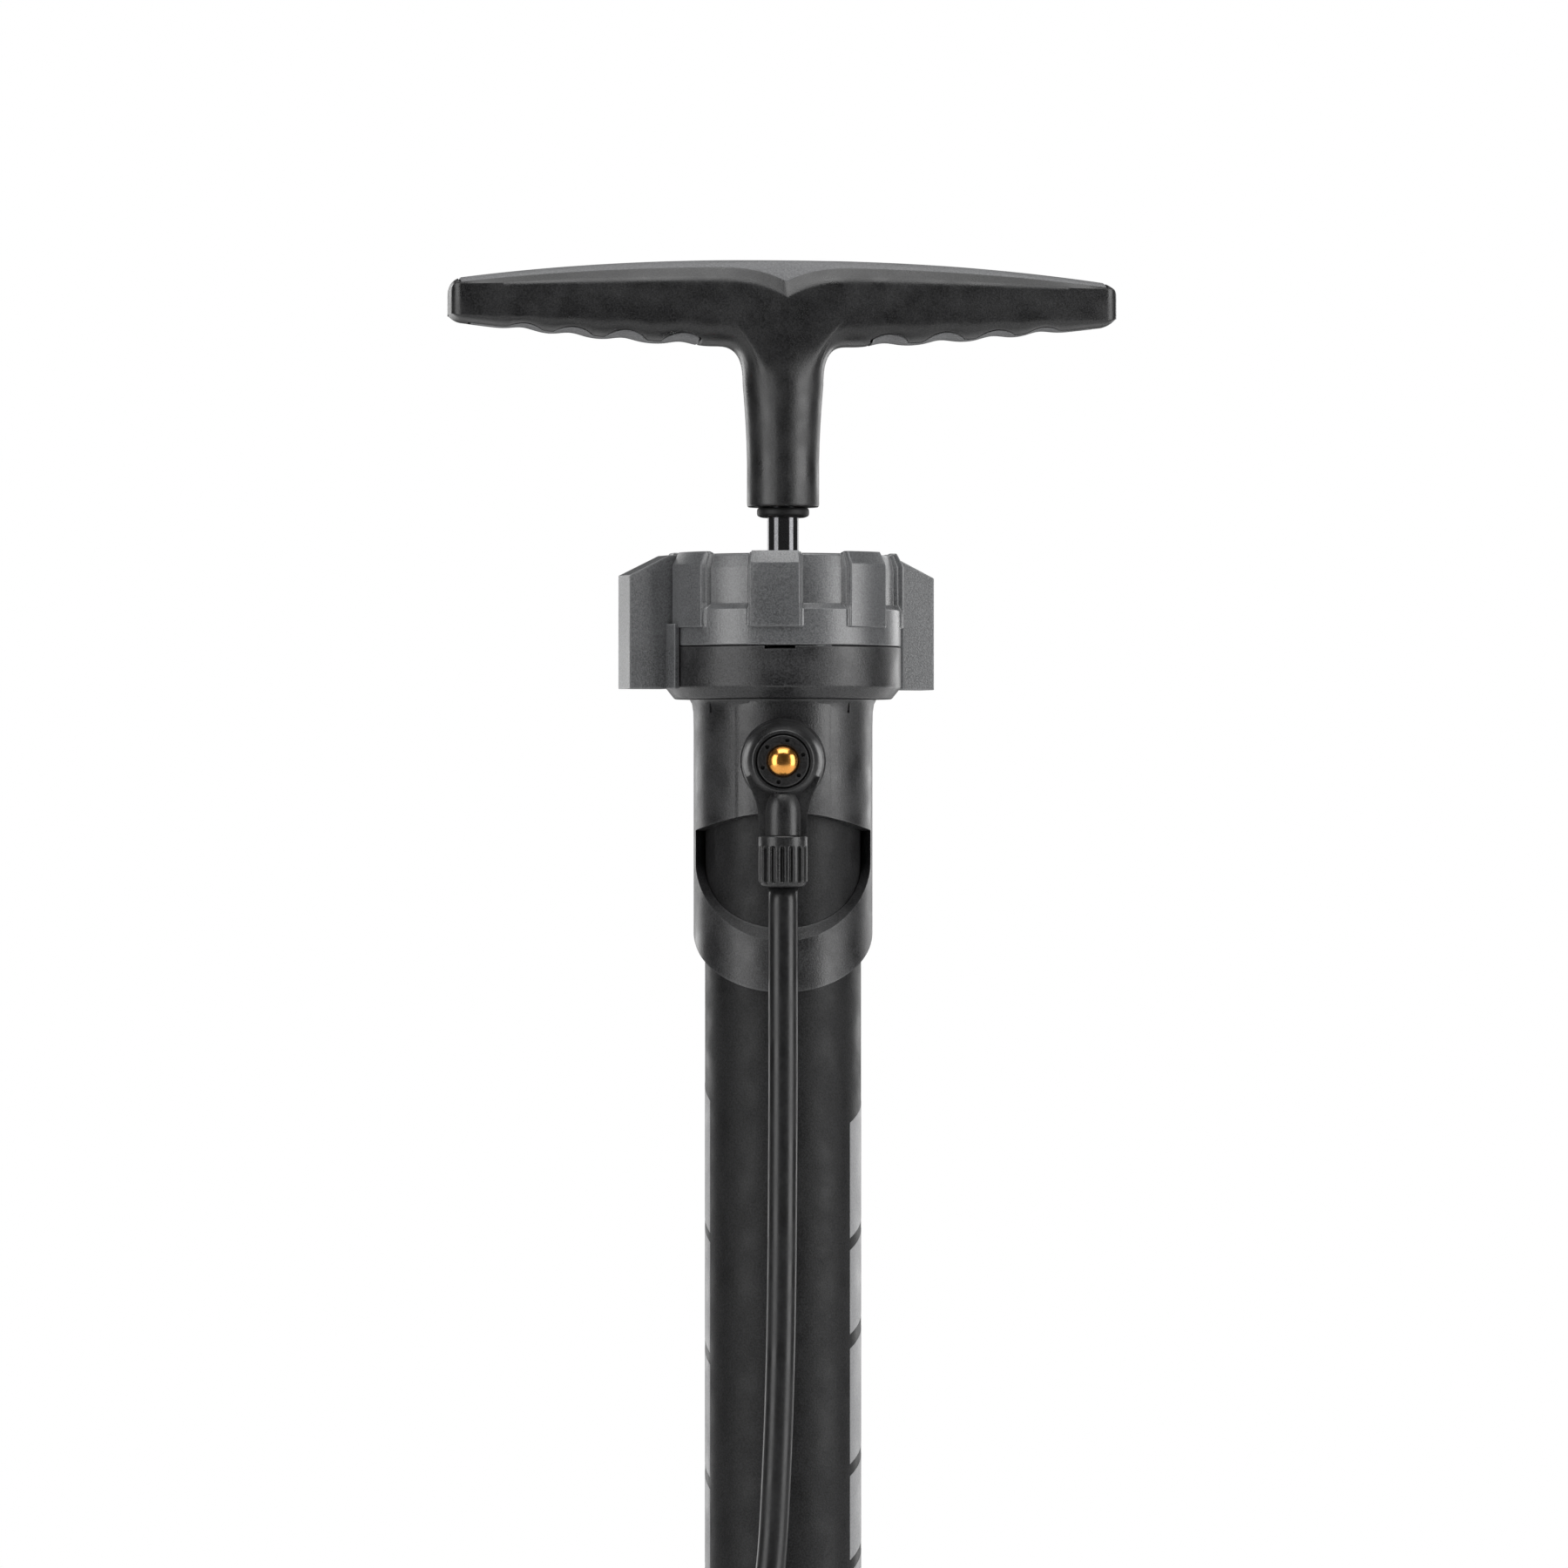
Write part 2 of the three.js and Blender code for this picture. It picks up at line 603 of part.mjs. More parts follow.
// A wedge of the ring's outside between two angles, measured from the rear.
function sector(from, to, inner, outer, bottom, top) {
  const steps = Math.max(2, Math.round((to - from) / 12));
  const arc = (radius, reversed) => {
    const points = Array.from({ length: steps + 1 }, (_, i) => {
      const angle = ((from + ((to - from) * i) / steps) * Math.PI) / 180;
      return [radius * Math.sin(angle), -radius * Math.cos(angle)];
    });
    return reversed ? points.reverse() : points;
  };
  return slab(polygon([...arc(outer, false), ...arc(inner, true)]), bottom, top);
}

function modeRing() {
  const { bottom, top, bore: inside, skirt, block, recess, blockBottom, recessBottom } = ring;
  const body = turned([
    [inside, bottom], [skirt, bottom], [skirt, recessBottom - 1], [recess, recessBottom + 0.6],
    [recess, 611], [recess - 0.6, top - 1], [inside, top - 1],
  ], 36, true);
  const blocks = [];
  for (const side of [0, 180]) {
    for (const centre of [-75, -25, 25, 75]) {
      const from = side + centre - 11.6;
      const to = side + centre + 11.6;
      blocks.push(common(
        sector(from, to, inside, block, blockBottom, top),
        turned([[0, blockBottom], [block, blockBottom + 1], [block, 612.6], [block - 2.6, top], [0, top]], 36),
      ));
    }
  }
  const wings = [];
  for (const side of [-1, 1]) {
    const { wingRadius, wingBottom, wingShoulder, wingThickness, tabRadius, tabWidth, tabTop } = ring;
    const outline = polygon([
      [side * 49.8, wingBottom], [side * (wingRadius - 1), wingBottom], [side * wingRadius, wingBottom + 1],
      [side * wingRadius, wingShoulder], [side * 51, 616], [side * (inside + 1.5), 616],
      [side * (inside + 1.5), bottom], [side * 49.8, bottom],
    ]);
    wings.push(slabAlongY(outline, 0, wingThickness));
    const [from, to] = side < 0 ? [-91, -91 + tabWidth] : [91 - tabWidth, 91];
    wings.push(sector(from, to, 49.75, tabRadius, wingBottom, tabTop));
  }
  const keySlots = [0, 180].map((degrees) => {
    const slot = box(-4.4, 4.4, 42, 46.2, bottom - 1, bottom + 4);
    slot.rotateZ((degrees * Math.PI) / 180);
    return slot;
  });
  addPiece("mode_ring", cut(join(body, ...blocks, ...wings), ...keySlots), "greyPlastic", ringGroup);
}

// One of the selector disc's two keys, from a radius out to the ring's slot.
function keyBlock(side, from, top) {
  const key = box(-4, 4, from, 45.8, 574.4, top);
  if (side < 0) key.rotateZ(Math.PI);
  return key;
}

// The selector disc turns with the ring: its two keys stand in the ring's slots.
function selectorDisc() {
  const disc = tube(13.4, 38, 574.4, 577.2, 32);
  const keys = [1, -1].map((side) =>
    join(keyBlock(side, 36, 577.2),
      keyBlock(side, 44.1, 581)));
  const ports = [200, 242].map((degrees) => {
    const port = rod(2.2, 570, 580, 8);
    port.translate(25, 0, 0);
    port.rotateZ((degrees * Math.PI) / 180);
    return port;
  });
  addPiece("selector_disc", cut(join(disc, ...keys), ...ports), "aluminium", ringGroup);
}

// ---------------------------------------------------------------- hose swivel

function hoseSwivel() {
  const { z, baseRadius, faceRadius, inner, outer, hoseY } = swivel;
  const donut = onRearAxis(turned([
    [5.4, -inner], [baseRadius, -inner], [baseRadius, 44], [16.6, 47.5], [14.4, 52.5], [faceRadius, -outer],
    [11.2, -outer], [11.2, 55], [5.4, 55],
  ], 24, true), z);
  const neck = rod(8, nut.top + gap, 524, 16);
  neck.translate(0, hoseY, 0);
  const flareShape = polygon([[-10.1, nut.top + gap], [10.1, nut.top + gap], [12.6, 522], [-12.6, 522]]);
  const flare = slabAlongY(flareShape, hoseY - 2.4, hoseY + 5);
  const through = onRearAxis(rod(11.2, 55, 70, 24), z);
  const shank = onRearAxis(rod(5.4, 30, 60, 16), z);
  const airWay = rod(2.4, nut.top - 1, 526, 12);
  airWay.translate(0, hoseY, 0);
  addPiece("swivel_banjo", cut(join(donut, neck, flare), through, shank, airWay), "blackPlastic");
  oRing("swivel_seal", 10.4, 0.85, 0, 16);
  const seal = pump.getObjectByName("swivel_seal");
  seal.rotation.x = Math.PI / 2;
  seal.position.set(0, -(casing.padRear + 1.15), z);
  const pinHoles = Array.from({ length: 6 }, (_, i) => {
    const hole = rod(0.85, 56.5, 62, 6);
    const angle = ((18 + 60 * i) * Math.PI) / 180;
    hole.translate(9.6 * Math.cos(angle), 9.6 * Math.sin(angle), 0);
    return hole;
  });
  const cap = turned([[5.4, 55.3], [10.9, 55.3], [10.9, 57.4], [10.4, 58], [7, 58], [6.6, 57.2], [5.4, 57.2]], 24, true);
  addPiece("swivel_cap", onRearAxis(cut(cap, ...pinHoles), z), "blackPlastic");
  const stud = [[0, 24], [4, 24], [4, 40], [5.1, 40.6], [5.1, 57.5], [6.2, 58.3], [5.9, 60], [4.6, 61.4], [2.6, 62.2], [0, 62.5]];
  addPiece("swivel_stud", onRearAxis(turned(stud, 16), z), "brass");
}

function hoseNut() {
  const bodyProfile = [
    [2.7, nut.bottom], [8.6, nut.bottom], [9.4, nut.bottom + 1.6], [9.4, 495.4], [nut.radius, 495.4],
    [nut.radius, nut.top], [2.7, nut.top],
  ];
  const ribs = Array.from({ length: 12 }, (_, i) => {
    const rib = box(-0.8, 0.8, 8.6, nut.radius, 480.4, 495.6);
    rib.rotateZ((i * Math.PI) / 6);
    return rib;
  });
  addPiece("hose_nut", join(turned(bodyProfile, 24, true), ...ribs), "blackPlastic").position.y = swivel.hoseY;
}

// ---------------------------------------------------------------- hose

// From the swivel's nut down the rear, round the barrel's left side through the hook, and up the
// front to the docked pump head.
const hoseRoute = [
  [0, -50, 478.4], [0, -50, 440], [0, -50, 400], [-0.2, -50, 360], [-0.5, -50, 320], [-1.2, -50, 280],
  [-2.6, -50.2, 240], [-5, -50.8, 200], [-7.9, -53.9, 181], [-13.4, -58.2, 163], [-21.4, -61, 145.5],
  [-31, -61.1, 128.5], [-41.2, -57.5, 112], [-50.7, -49.1, 97.5], [-58.6, -36, 85.5], [-63.9, -19, 77.2],
  [-66, 0, 74], [-63.9, 22.8, 77.2], [-56.8, 42.2, 87.7], [-46.2, 55.3, 103.5], [-33.8, 61.1, 122],
  [-21.1, 61, 141.5], [-11.2, 60, 162.5], [-4.4, 58.2, 184], [-0.7, 56, 207], [0, 54, 232],
  [0, 54, 280], [0, 54, 340], [0, 54, 400], [0, 54, 470],
];

function airHose() {
  const path = new THREE.CatmullRomCurve3(hoseRoute.map(([x, y, z]) => new THREE.Vector3(x, y, z)));
  const section = new THREE.Shape();
  section.absarc(0, 0, hose.radius, 0, 2 * Math.PI);
  const geometry = new THREE.ExtrudeGeometry(section, {
    extrudePath: path, steps: hose.steps, curveSegments: hose.sides / 2, bevelEnabled: false,
  });
  addPiece("air_hose", toGeometry(toSolid(geometry)), "rubber");
}

// ---------------------------------------------------------------- pump head and its dock

function pumpHead() {
  const { y, z, radius, neckRadius, hoseTop } = head;
  const ferrule = addPiece("hose_ferrule", turned([
    [2.4, hoseTop + gap], [7.4, hoseTop + gap], [7.8, hoseTop + 1], [7.8, 487], [7.2, 488], [2.4, 488],
  ], 16, true), "aluminium");
  ferrule.position.y = y;
  const bodyTurned = onSideAxis(turned([
    [0, -20], [radius - 1.5, -20], [radius, -18.5], [radius, 16.5], [10.4, 16.5], [10.4, 18], [0, 18],
  ], 24), y, z);
  const neck = rod(neckRadius, 488.3, z - 4, 16);
  neck.translate(0, y, 0);
  const ears = [-1, 1].map((side) => {
    const ear = polygon([[-31, z - 5], [-31, z + 3], [-28, z + 6], [-18, z + 6], [-18, z - 6], [-28, z - 6]]);
    return slabAlongY(ear, y + side * 8.2 - 1.6, y + side * 8.2 + 1.6);
  });
  const airWay = rod(2.2, 480, z, 12);
  airWay.translate(0, y, 0);
  const valveHole = onSideAxis(rod(5, -4, 40, 12), y, z);
  const pinHole = rod(2, -12, 12, 12);
  pinHole.rotateX(Math.PI / 2);
  pinHole.translate(-25.4, y, z);
  const buttonBore = rod(3.3, z + 5, z + 20, 10);
  buttonBore.translate(8, y, 0);
  addPiece("pump_head_body",
    cut(join(bodyTurned, neck, ...ears), airWay, valveHole, pinHole, buttonBore), "blackPlastic");

  const capProfile = [[4.6, 18.3], [12.2, 18.3], [12.6, 19.5], [12.6, 25.5], [11.4, 27], [4.6, 27]];
  const capNotches = Array.from({ length: 8 }, (_, i) => {
    const notch = box(-1.2, 1.2, 11.6, 14, 20, 28);
    notch.rotateZ((i * Math.PI) / 4);
    return notch;
  });
  addPiece("pump_head_cap", onSideAxis(cut(turned(capProfile, 24, true), ...capNotches), y, z), "greyPlastic");
  addPiece("valve_gasket", onSideAxis(tube(3.9, 4.7, 4, 17.8, 12), y, z), "rubber");

  const cam = rod(4.9, -6.2, 6.2, 14);
  cam.rotateX(Math.PI / 2);
  cam.translate(-25.4, y, z);
  const lever = slabAlongY(
    polygon([[-29.6, z + 1], [-21.4, z + 1], [-22.4, z - 12], [-22.8, 476], [-24.4, 466], [-27, 462.5],
      [-29.4, 464], [-29.4, 478], [-30, z - 12]]), y - 6.2, y + 6.2);
  const leverHole = rod(2.1, -12, 12, 12);
  leverHole.rotateX(Math.PI / 2);
  leverHole.translate(-25.4, y, z);
  addPiece("lock_lever", cut(join(cam, lever), leverHole), "greyPlastic");
  const pin = rod(1.7, -9.6, 9.6, 12);
  pin.rotateX(Math.PI / 2);
  pin.translate(-25.4, y, z);
  addPiece("lever_pin", pin, "steel");

  const button = [[0, z + 7.6], [2.8, z + 7.6], [2.8, z + 15], [2.2, z + 15.8], [0, z + 15.8]];
  addPiece("release_button", turned(button, 12), "greyPlastic").position.set(8, y, 0);
  addPiece("release_spring", spring(2.2, 0.3, z + 5.5, z + 7.1, 2), "steel").position.set(8, y, 0);
}

// A spring clip on the front of the casing that grips the pump head's neck.
function headDock() {
  const { y, neckRadius } = head;
  const clip = cut(
    join(tube(neckRadius + gap, 11.4, 490, 500, 24)),
    box(-5.6, 5.6, 4, 20, 480, 510),
  );
  clip.translate(0, y, 0);
  const stalk = box(-6.5, 6.5, casing.radius + gap, y - 9.6, 490, 500);
  addPiece("head_dock", cut(join(clip, stalk), curvedFront()), "blackPlastic");
}

// The casing's own round outside, to fit a piece against it.
const curvedFront = () => rod(casing.radius + gap, 480, 510, 48);

// ---------------------------------------------------------------- assembly

footBase();
rubberFeet();
treadPads();
barrelSocket();
baseScrews();
hoseHook();
chamberTube();
pumpCylinder();
lowerEndPlug();
oRing("chamber_seal_ring", 29.2, 1.15, 40.7, 22);
oRing("cylinder_seal_ring", 14.5, 1.1, 36.7, 16);
checkValve();
piston();
pistonRod();
tHandle();
topManifold();
upperCasing();
gaugeHousing();
gaugeParts();
bourdonTube();
modeRing();
selectorDisc();
hoseSwivel();
hoseNut();
airHose();
pumpHead();
headDock();

export default pump;
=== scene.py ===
"""Looks of a tall track pump with a T-handle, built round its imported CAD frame.

Shapes are written in millimetres in the CAD's frame (+Z up, the rear towards -Y) and scaled to
metres when a piece is made.
"""

import json
from math import asin, atan, copysign, cos, degrees, exp, pi, radians, sin, sqrt

import bmesh
import bpy
from mathutils import Matrix, Vector


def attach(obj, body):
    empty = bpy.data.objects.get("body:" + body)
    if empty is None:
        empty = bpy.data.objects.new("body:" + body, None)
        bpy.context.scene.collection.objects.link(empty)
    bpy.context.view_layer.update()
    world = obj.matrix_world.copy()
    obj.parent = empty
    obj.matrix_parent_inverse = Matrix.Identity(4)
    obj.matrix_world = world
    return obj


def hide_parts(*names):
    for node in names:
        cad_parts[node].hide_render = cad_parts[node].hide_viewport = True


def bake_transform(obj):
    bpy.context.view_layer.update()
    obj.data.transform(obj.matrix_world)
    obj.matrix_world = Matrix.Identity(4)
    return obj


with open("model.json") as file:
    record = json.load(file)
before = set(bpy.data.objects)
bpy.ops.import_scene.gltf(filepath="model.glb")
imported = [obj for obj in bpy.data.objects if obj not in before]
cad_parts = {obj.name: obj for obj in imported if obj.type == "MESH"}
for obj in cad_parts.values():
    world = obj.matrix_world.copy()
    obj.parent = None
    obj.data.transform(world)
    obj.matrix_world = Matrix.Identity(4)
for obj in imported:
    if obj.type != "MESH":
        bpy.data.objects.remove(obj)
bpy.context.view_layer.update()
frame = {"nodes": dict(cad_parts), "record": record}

MM = 0.001

# --- driving dimensions, millimetres

BARREL_R, BARREL_BOTTOM, BARREL_TOP = 32.65, 20.3, 560.0
ROD_R = 6.55
CASING_R, CASING_REAR, CASING_SIDE, CASING_TOP = 37.4, 434.8, 459.0, 556.1
CASING_BORE_R = 33.0
FOOT_BORE_R = 32.95  # of the barrel's socket and the hook's collar
PORT_R = 5.6
HOUSING_R = 49.3
RING_YAW, HANDLE_YAW, POINTER_YAW = 21.0, 7.4, -45.0
SWIVEL_Z, HOSE_Y = 530.4, -50.0
HEAD_Y, HEAD_Z, LEVER_X = 54.0, 517.0, -25.4
HOSE_R, HOSE_SIDES = 6.1, 28

# --- camera and light

CAMERA_LENS, CAMERA_PLACE = 164.6, (0.0004, -3.0, 0.521)
WHITE = (1, 1, 1, 1)


def make_camera():
    data = bpy.data.cameras.new("camera")
    data.sensor_width = 36
    data.lens = CAMERA_LENS
    camera = bpy.data.objects.new("camera", data)
    camera.location = CAMERA_PLACE
    camera.rotation_euler = (radians(90), 0, 0)
    bpy.context.collection.objects.link(camera)
    bpy.context.scene.camera = camera


def softbox(name, azimuth, distance, height, size, power, elevation=0.0):
    """A rectangular lamp facing the pump's head. Azimuth 0 is at the rear, where the camera is."""
    data = bpy.data.lights.new(name, "AREA")
    data.shape = "RECTANGLE"
    data.size, data.size_y = size
    data.energy = power
    lamp = bpy.data.objects.new(name, data)
    angle, rise = radians(azimuth), radians(elevation)
    out = Vector((sin(angle) * cos(rise), -cos(angle) * cos(rise), sin(rise)))
    lamp.location = Vector((0, 0, height)) + out * distance
    lamp.rotation_mode = "QUATERNION"
    lamp.rotation_quaternion = out.to_track_quat("Z", "Y")
    bpy.context.collection.objects.link(lamp)


def make_lights():
    softbox("key_left", -52, 1.5, 0.62, (0.85, 1.7), 15)
    softbox("key_right", 64, 1.5, 0.62, (0.85, 1.7), 20)
    softbox("top", 0, 1.5, 0.75, (1.5, 0.8), 16, elevation=60)
    softbox("overhead", 180, 1.9, 0.3, (1.8, 1.8), 16, elevation=78)
    softbox("edge_left", -145, 1.8, 0.55, (0.8, 1.9), 12)
    softbox("edge_right", 145, 1.8, 0.55, (0.8, 1.9), 12)
    world = bpy.data.worlds.new("studio")
    bpy.context.scene.world = world
    world.use_nodes = True
    nodes, links = world.node_tree.nodes, world.node_tree.links
    # The camera sees white behind the pump, and the pump gets only a little light from it.
    shade = settle(nodes["Background"], Color=WHITE, Strength=0.07)
    backdrop = settle(nodes.new("ShaderNodeBackground"), Color=WHITE, Strength=1.0)
    rays = nodes.new("ShaderNodeLightPath")
    mix = nodes.new("ShaderNodeMixShader")
    links.new(rays.outputs["Is Camera Ray"], mix.inputs["Fac"])
    links.new(shade.outputs[0], mix.inputs[1])
    links.new(backdrop.outputs[0], mix.inputs[2])
    links.new(mix.outputs[0], nodes["World Output"].inputs["Surface"])
    bpy.context.scene.view_settings.view_transform = "Standard"


# --- materials

AO_SAMPLES = 4
NOISE_BAND = (0.36, 0.64)  # where most of a noise texture's values are


def settle(node, **values):
    """Sets a node's sockets. An underscore stands for the space in a socket's name."""
    for name, value in values.items():
        node.inputs[name.replace("_", " ")].default_value = value
    return node


def mapped(tree, source, band, target):
    """A value moved from one range to another."""
    node = settle(tree.nodes.new("ShaderNodeMapRange"), From_Min=band[0], From_Max=band[1],
                  To_Min=target[0], To_Max=target[1])
    tree.links.new(source, node.inputs["Value"])
    return node.outputs["Result"]


def mixed(tree, factor, **colours):
    """A node that mixes colours A and B."""
    node = tree.nodes.new("ShaderNodeMix")
    node.data_type = "RGBA"
    tree.links.new(factor, node.inputs["Factor"])
    return settle(node, **colours)


def scaled(tree, source, factor, plus=None):
    """A value times a factor, with another value added to it."""
    node = tree.nodes.new("ShaderNodeMath")
    node.operation = "MULTIPLY" if plus is None else "MULTIPLY_ADD"
    node.inputs[1].default_value = factor
    tree.links.new(source, node.inputs[0])
    if plus is not None:
        tree.links.new(plus, node.inputs[2])
    return node.outputs[0]


def toned(tree, surface, colour, inside, reach, band, amount):
    """Paints a colour as highlight on a surface's outer edges (inside) or as shade in its crevices, reach
    millimetres wide.
    """
    near = settle(tree.nodes.new("ShaderNodeAmbientOcclusion"), Distance=reach * MM)
    near.inside, near.only_local, near.samples = inside, inside, AO_SAMPLES
    mix = mixed(tree, mapped(tree, near.outputs["AO"], band, amount), B=(*colour, 1))
    tree.links.new(surface, mix.inputs["A"])
    return mix.outputs["Result"]


def blank(name):
    """A new material, its tree, its shader and its object coordinates."""
    mat = bpy.data.materials.new(name)
    mat.use_nodes = True
    tree = mat.node_tree
    where = tree.nodes.new("ShaderNodeTexCoord").outputs["Object"]
    return mat, tree, tree.nodes["Principled BSDF"], where


def material(name, colour, roughness, *, grain=0.0, grain_size=0.5, mottle=0.15, patch=14.0,
             metallic=0.0, rough_spread=0.08, specular=0.5, scratches=0.0, painted_light=0.0):
    """A moulded, painted or machined surface.

    grain is the depth of its fine texture in millimetres, grain_size the texture's size, mottle how
    much the colour wanders, patch the size of that wandering, and rough_spread how much the gloss
    wanders. scratches is the size of lines along Z in place of the fine texture. The last argument
    sets a painted highlight on the outer edges and turns on painted shade in the crevices.
    """
    mat, tree, shader, where = blank(name)
    nodes, links = tree.nodes, tree.links
    settle(shader, Metallic=metallic, Specular_IOR_Level=specular)

    def noise(size, detail, rough=0.5, place=where):
        node = settle(nodes.new("ShaderNodeTexNoise"), Scale=1 / (size * MM), Detail=detail,
                      Roughness=rough)
        links.new(place, node.inputs["Vector"])
        return node.outputs["Fac"]

    broad, fine = noise(patch, 4), noise(grain_size, 2, 0.6)
    wander = scaled(tree, fine, 0.82, scaled(tree, broad, 0.18))
    surface = mixed(tree, mapped(tree, wander, NOISE_BAND, (0, 1)),
                    A=(*[c * (1 - mottle) for c in colour], 1),
                    B=(*[min(1, c * (1 + mottle)) for c in colour], 1)).outputs["Result"]
    if painted_light:
        # Painted highlight: a lighter colour on the outer edges, found by ambient occlusion cast inwards.
        edge_highlight_colour, shaded = [min(1, c * 2.4 + 0.03) for c in colour], [c * 0.2 for c in colour]
        surface = toned(tree, surface, edge_highlight_colour, True, 0.9, (0.5, 0.95), (painted_light, 0))
        # Painted shade: a darker colour in the crevices, found by ambient occlusion.
        surface = toned(tree, surface, shaded, False, 2.6, (0.3, 0.85), (0.85, 0))
    links.new(surface, shader.inputs["Base Color"])
    gloss = mapped(tree, broad, NOISE_BAND, (roughness - rough_spread, roughness + rough_spread))
    links.new(gloss, shader.inputs["Roughness"])
    height = fine
    if scratches:
        stretch = settle(nodes.new("ShaderNodeMapping"), Scale=(1, 1, 0.04))
        links.new(where, stretch.inputs["Vector"])
        height = noise(scratches, 2, place=stretch.outputs["Vector"])
    if grain:
        bump = settle(nodes.new("ShaderNodeBump"), Strength=1.0, Distance=grain * MM)
        links.new(height, bump.inputs["Height"])
        links.new(bump.outputs["Normal"], shader.inputs["Normal"])
    return mat


# BLACK, CASE_BLACK and GREY get a painted highlight on their outer edges and painted shade in their
# crevices.
BLACK = material("black_moulding", (0.013, 0.013, 0.0135), 0.35, grain=0.07,
                 grain_size=0.6, mottle=0.7, painted_light=0.25)
CASE_BLACK = material("casing_moulding", (0.018, 0.018, 0.019), 0.38, grain=0.09,
                      grain_size=0.66, mottle=0.9, specular=0.55, painted_light=0.35)
GREY = material("grey_moulding", (0.088, 0.09, 0.093), 0.3, grain=0.07, grain_size=0.66,
                mottle=0.4, specular=0.8, rough_spread=0.03, patch=40, painted_light=0.6)
GRIP = material("soft_grip", (0.125, 0.126, 0.13), 0.5, grain=0.09, grain_size=0.75,
                mottle=0.25, specular=0.35)
RUBBER = material("black_rubber", (0.012, 0.012, 0.0125), 0.5, grain=0.06, grain_size=0.9,
                  mottle=0.4, specular=0.35)
HOSE_RUBBER = material("hose_rubber", (0.009, 0.009, 0.0095), 0.34, grain=0.012, grain_size=1.5,
                       mottle=0.35, rough_spread=0.06, specular=0.45)
PAINT = material("barrel_paint", (0.0085, 0.0085, 0.009), 0.5, grain=0.08,
                 grain_size=0.7, mottle=0.8, specular=0.26)
STEEL_PAINT = material("powder_coat", (0.02, 0.02, 0.022), 0.38, grain=0.16, grain_size=1.6,
                       mottle=0.35)
CHROME = material("black_chrome", (0.11, 0.11, 0.115), 0.13, metallic=0.9, grain=0.0006,
                  mottle=0.2, rough_spread=0.04, patch=30, scratches=0.8)
ALLOY = material("alloy", (0.62, 0.63, 0.64), 0.34, metallic=1.0, grain=0.004, mottle=0.06,
                 rough_spread=0.06, scratches=0.5)
SCREW_STEEL = material("zinc_steel", (0.42, 0.42, 0.43), 0.36, metallic=1.0, grain=0.004,
                       mottle=0.1)
BRASS = material("brass", (0.8, 0.36, 0.085), 0.22, metallic=1.0, grain=0.004, grain_size=0.4,
                 mottle=0.1, rough_spread=0.05, patch=3)
PRINT = material("printed_grey", (0.25, 0.25, 0.255), 0.5, grain=0.03, grain_size=0.8,
                 mottle=0.12)
DIAL_WHITE = material("dial_card", (0.82, 0.82, 0.8), 0.55, grain=0.006, mottle=0.02)
DIAL_BLACK = material("dial_print", (0.02, 0.02, 0.022), 0.5, grain=0.004, mottle=0.1)
POINTER_RED = material("pointer_red", (0.6, 0.05, 0.03), 0.42, grain=0.006, mottle=0.08)


def lens_material():
    mat, tree, shader, where = blank("clear_lens")
    settle(shader, Base_Color=(0.96, 0.97, 0.98, 1), IOR=1.49, Transmission_Weight=1.0)
    haze = settle(tree.nodes.new("ShaderNodeTexNoise"), Scale=120, Detail=3)
    tree.links.new(where, haze.inputs["Vector"])
    tree.links.new(mapped(tree, haze.outputs["Fac"], (0, 1), (0, 0.08)), shader.inputs["Roughness"])
    return mat


LENS = lens_material()

# --- solids: (points, faces) in millimetres


def polar(radius, angle):
    return radius * cos(angle), radius * sin(angle)


def from_rear(radius, turn):
    """A point round the barrel's axis, turned from the rear."""
    return radius * sin(turn), -radius * cos(turn)


def oblong(x0, x1, y0, y1):
    """Four corners: an outline, or the section of a plain ring or, from 0, of a plain rod."""
    return [(x0, y0), (x1, y0), (x1, y1), (x0, y1)]


def turned(profile, segments=96, closed=False):
    """A solid of revolution about Z from [radius, z] points, on the axis at both ends or closed."""
    points, faces, rows = [], [], []
    for radius, z in profile:
        if radius < 1e-6:
            rows.append([len(points)] * segments)
            points.append((0, 0, z))
            continue
        rows.append(list(range(len(points), len(points) + segments)))
        for i in range(segments):
            angle = 2 * pi * i / segments
            points.append((*polar(radius, angle), z))
    pairs = list(zip(rows, rows[1:] + rows[:1])) if closed else list(zip(rows, rows[1:]))
    for low, high in pairs:
        for i in range(segments):
            j = (i + 1) % segments
            corners = []
            for corner in (low[i], low[j], high[j], high[i]):
                if corner not in corners:
                    corners.append(corner)
            if len(corners) > 2:
                faces.append(corners)
    return points, faces


def rounded(profile, radius, steps=4, closed=False):
    """The same profile with its corners turned into small arcs. radius is one number or one a corner."""
    count = len(profile)
    result = []
    for i, point in enumerate(profile):
        r = radius[i] if isinstance(radius, (list, tuple)) else radius
        if r == 0 or (not closed and i in (0, count - 1)):
            result.append(point)
            continue
        here = Vector(point)
        before = Vector(profile[i - 1]) - here
        after = Vector(profile[(i + 1) % count]) - here
        reach = min(r, before.length * 0.45, after.length * 0.45)
        start, end = here + before.normalized() * reach, here + after.normalized() * reach
        for k in range(steps + 1):
            t = k / steps
            result.append(tuple(start * (1 - t) ** 2 + here * (2 * t * (1 - t)) + end * t ** 2))
    return result


def prism(outline, low, high):
    """An outline in X and Y, between two heights."""
    count = len(outline)
    points = [(x, y, low) for x, y in outline] + [(x, y, high) for x, y in outline]
    faces = [list(range(count))[::-1], list(range(count, 2 * count))]
    faces += [[i, (i + 1) % count, count + (i + 1) % count, count + i] for i in range(count)]
    return points, faces


def grid(rows, ends=True):
    """A skin through closed rows of points. ends close the first and the last row."""
    count = len(rows[0])
    points = [p for row in rows for p in row]
    faces = []
    for r in range(len(rows) - 1):
        for i in range(count):
            j = (i + 1) % count
            faces.append([r * count + i, r * count + j, (r + 1) * count + j, (r + 1) * count + i])
    if ends:
        faces.append(list(range(count))[::-1])
        faces.append([(len(rows) - 1) * count + i for i in range(count)])
    return points, faces


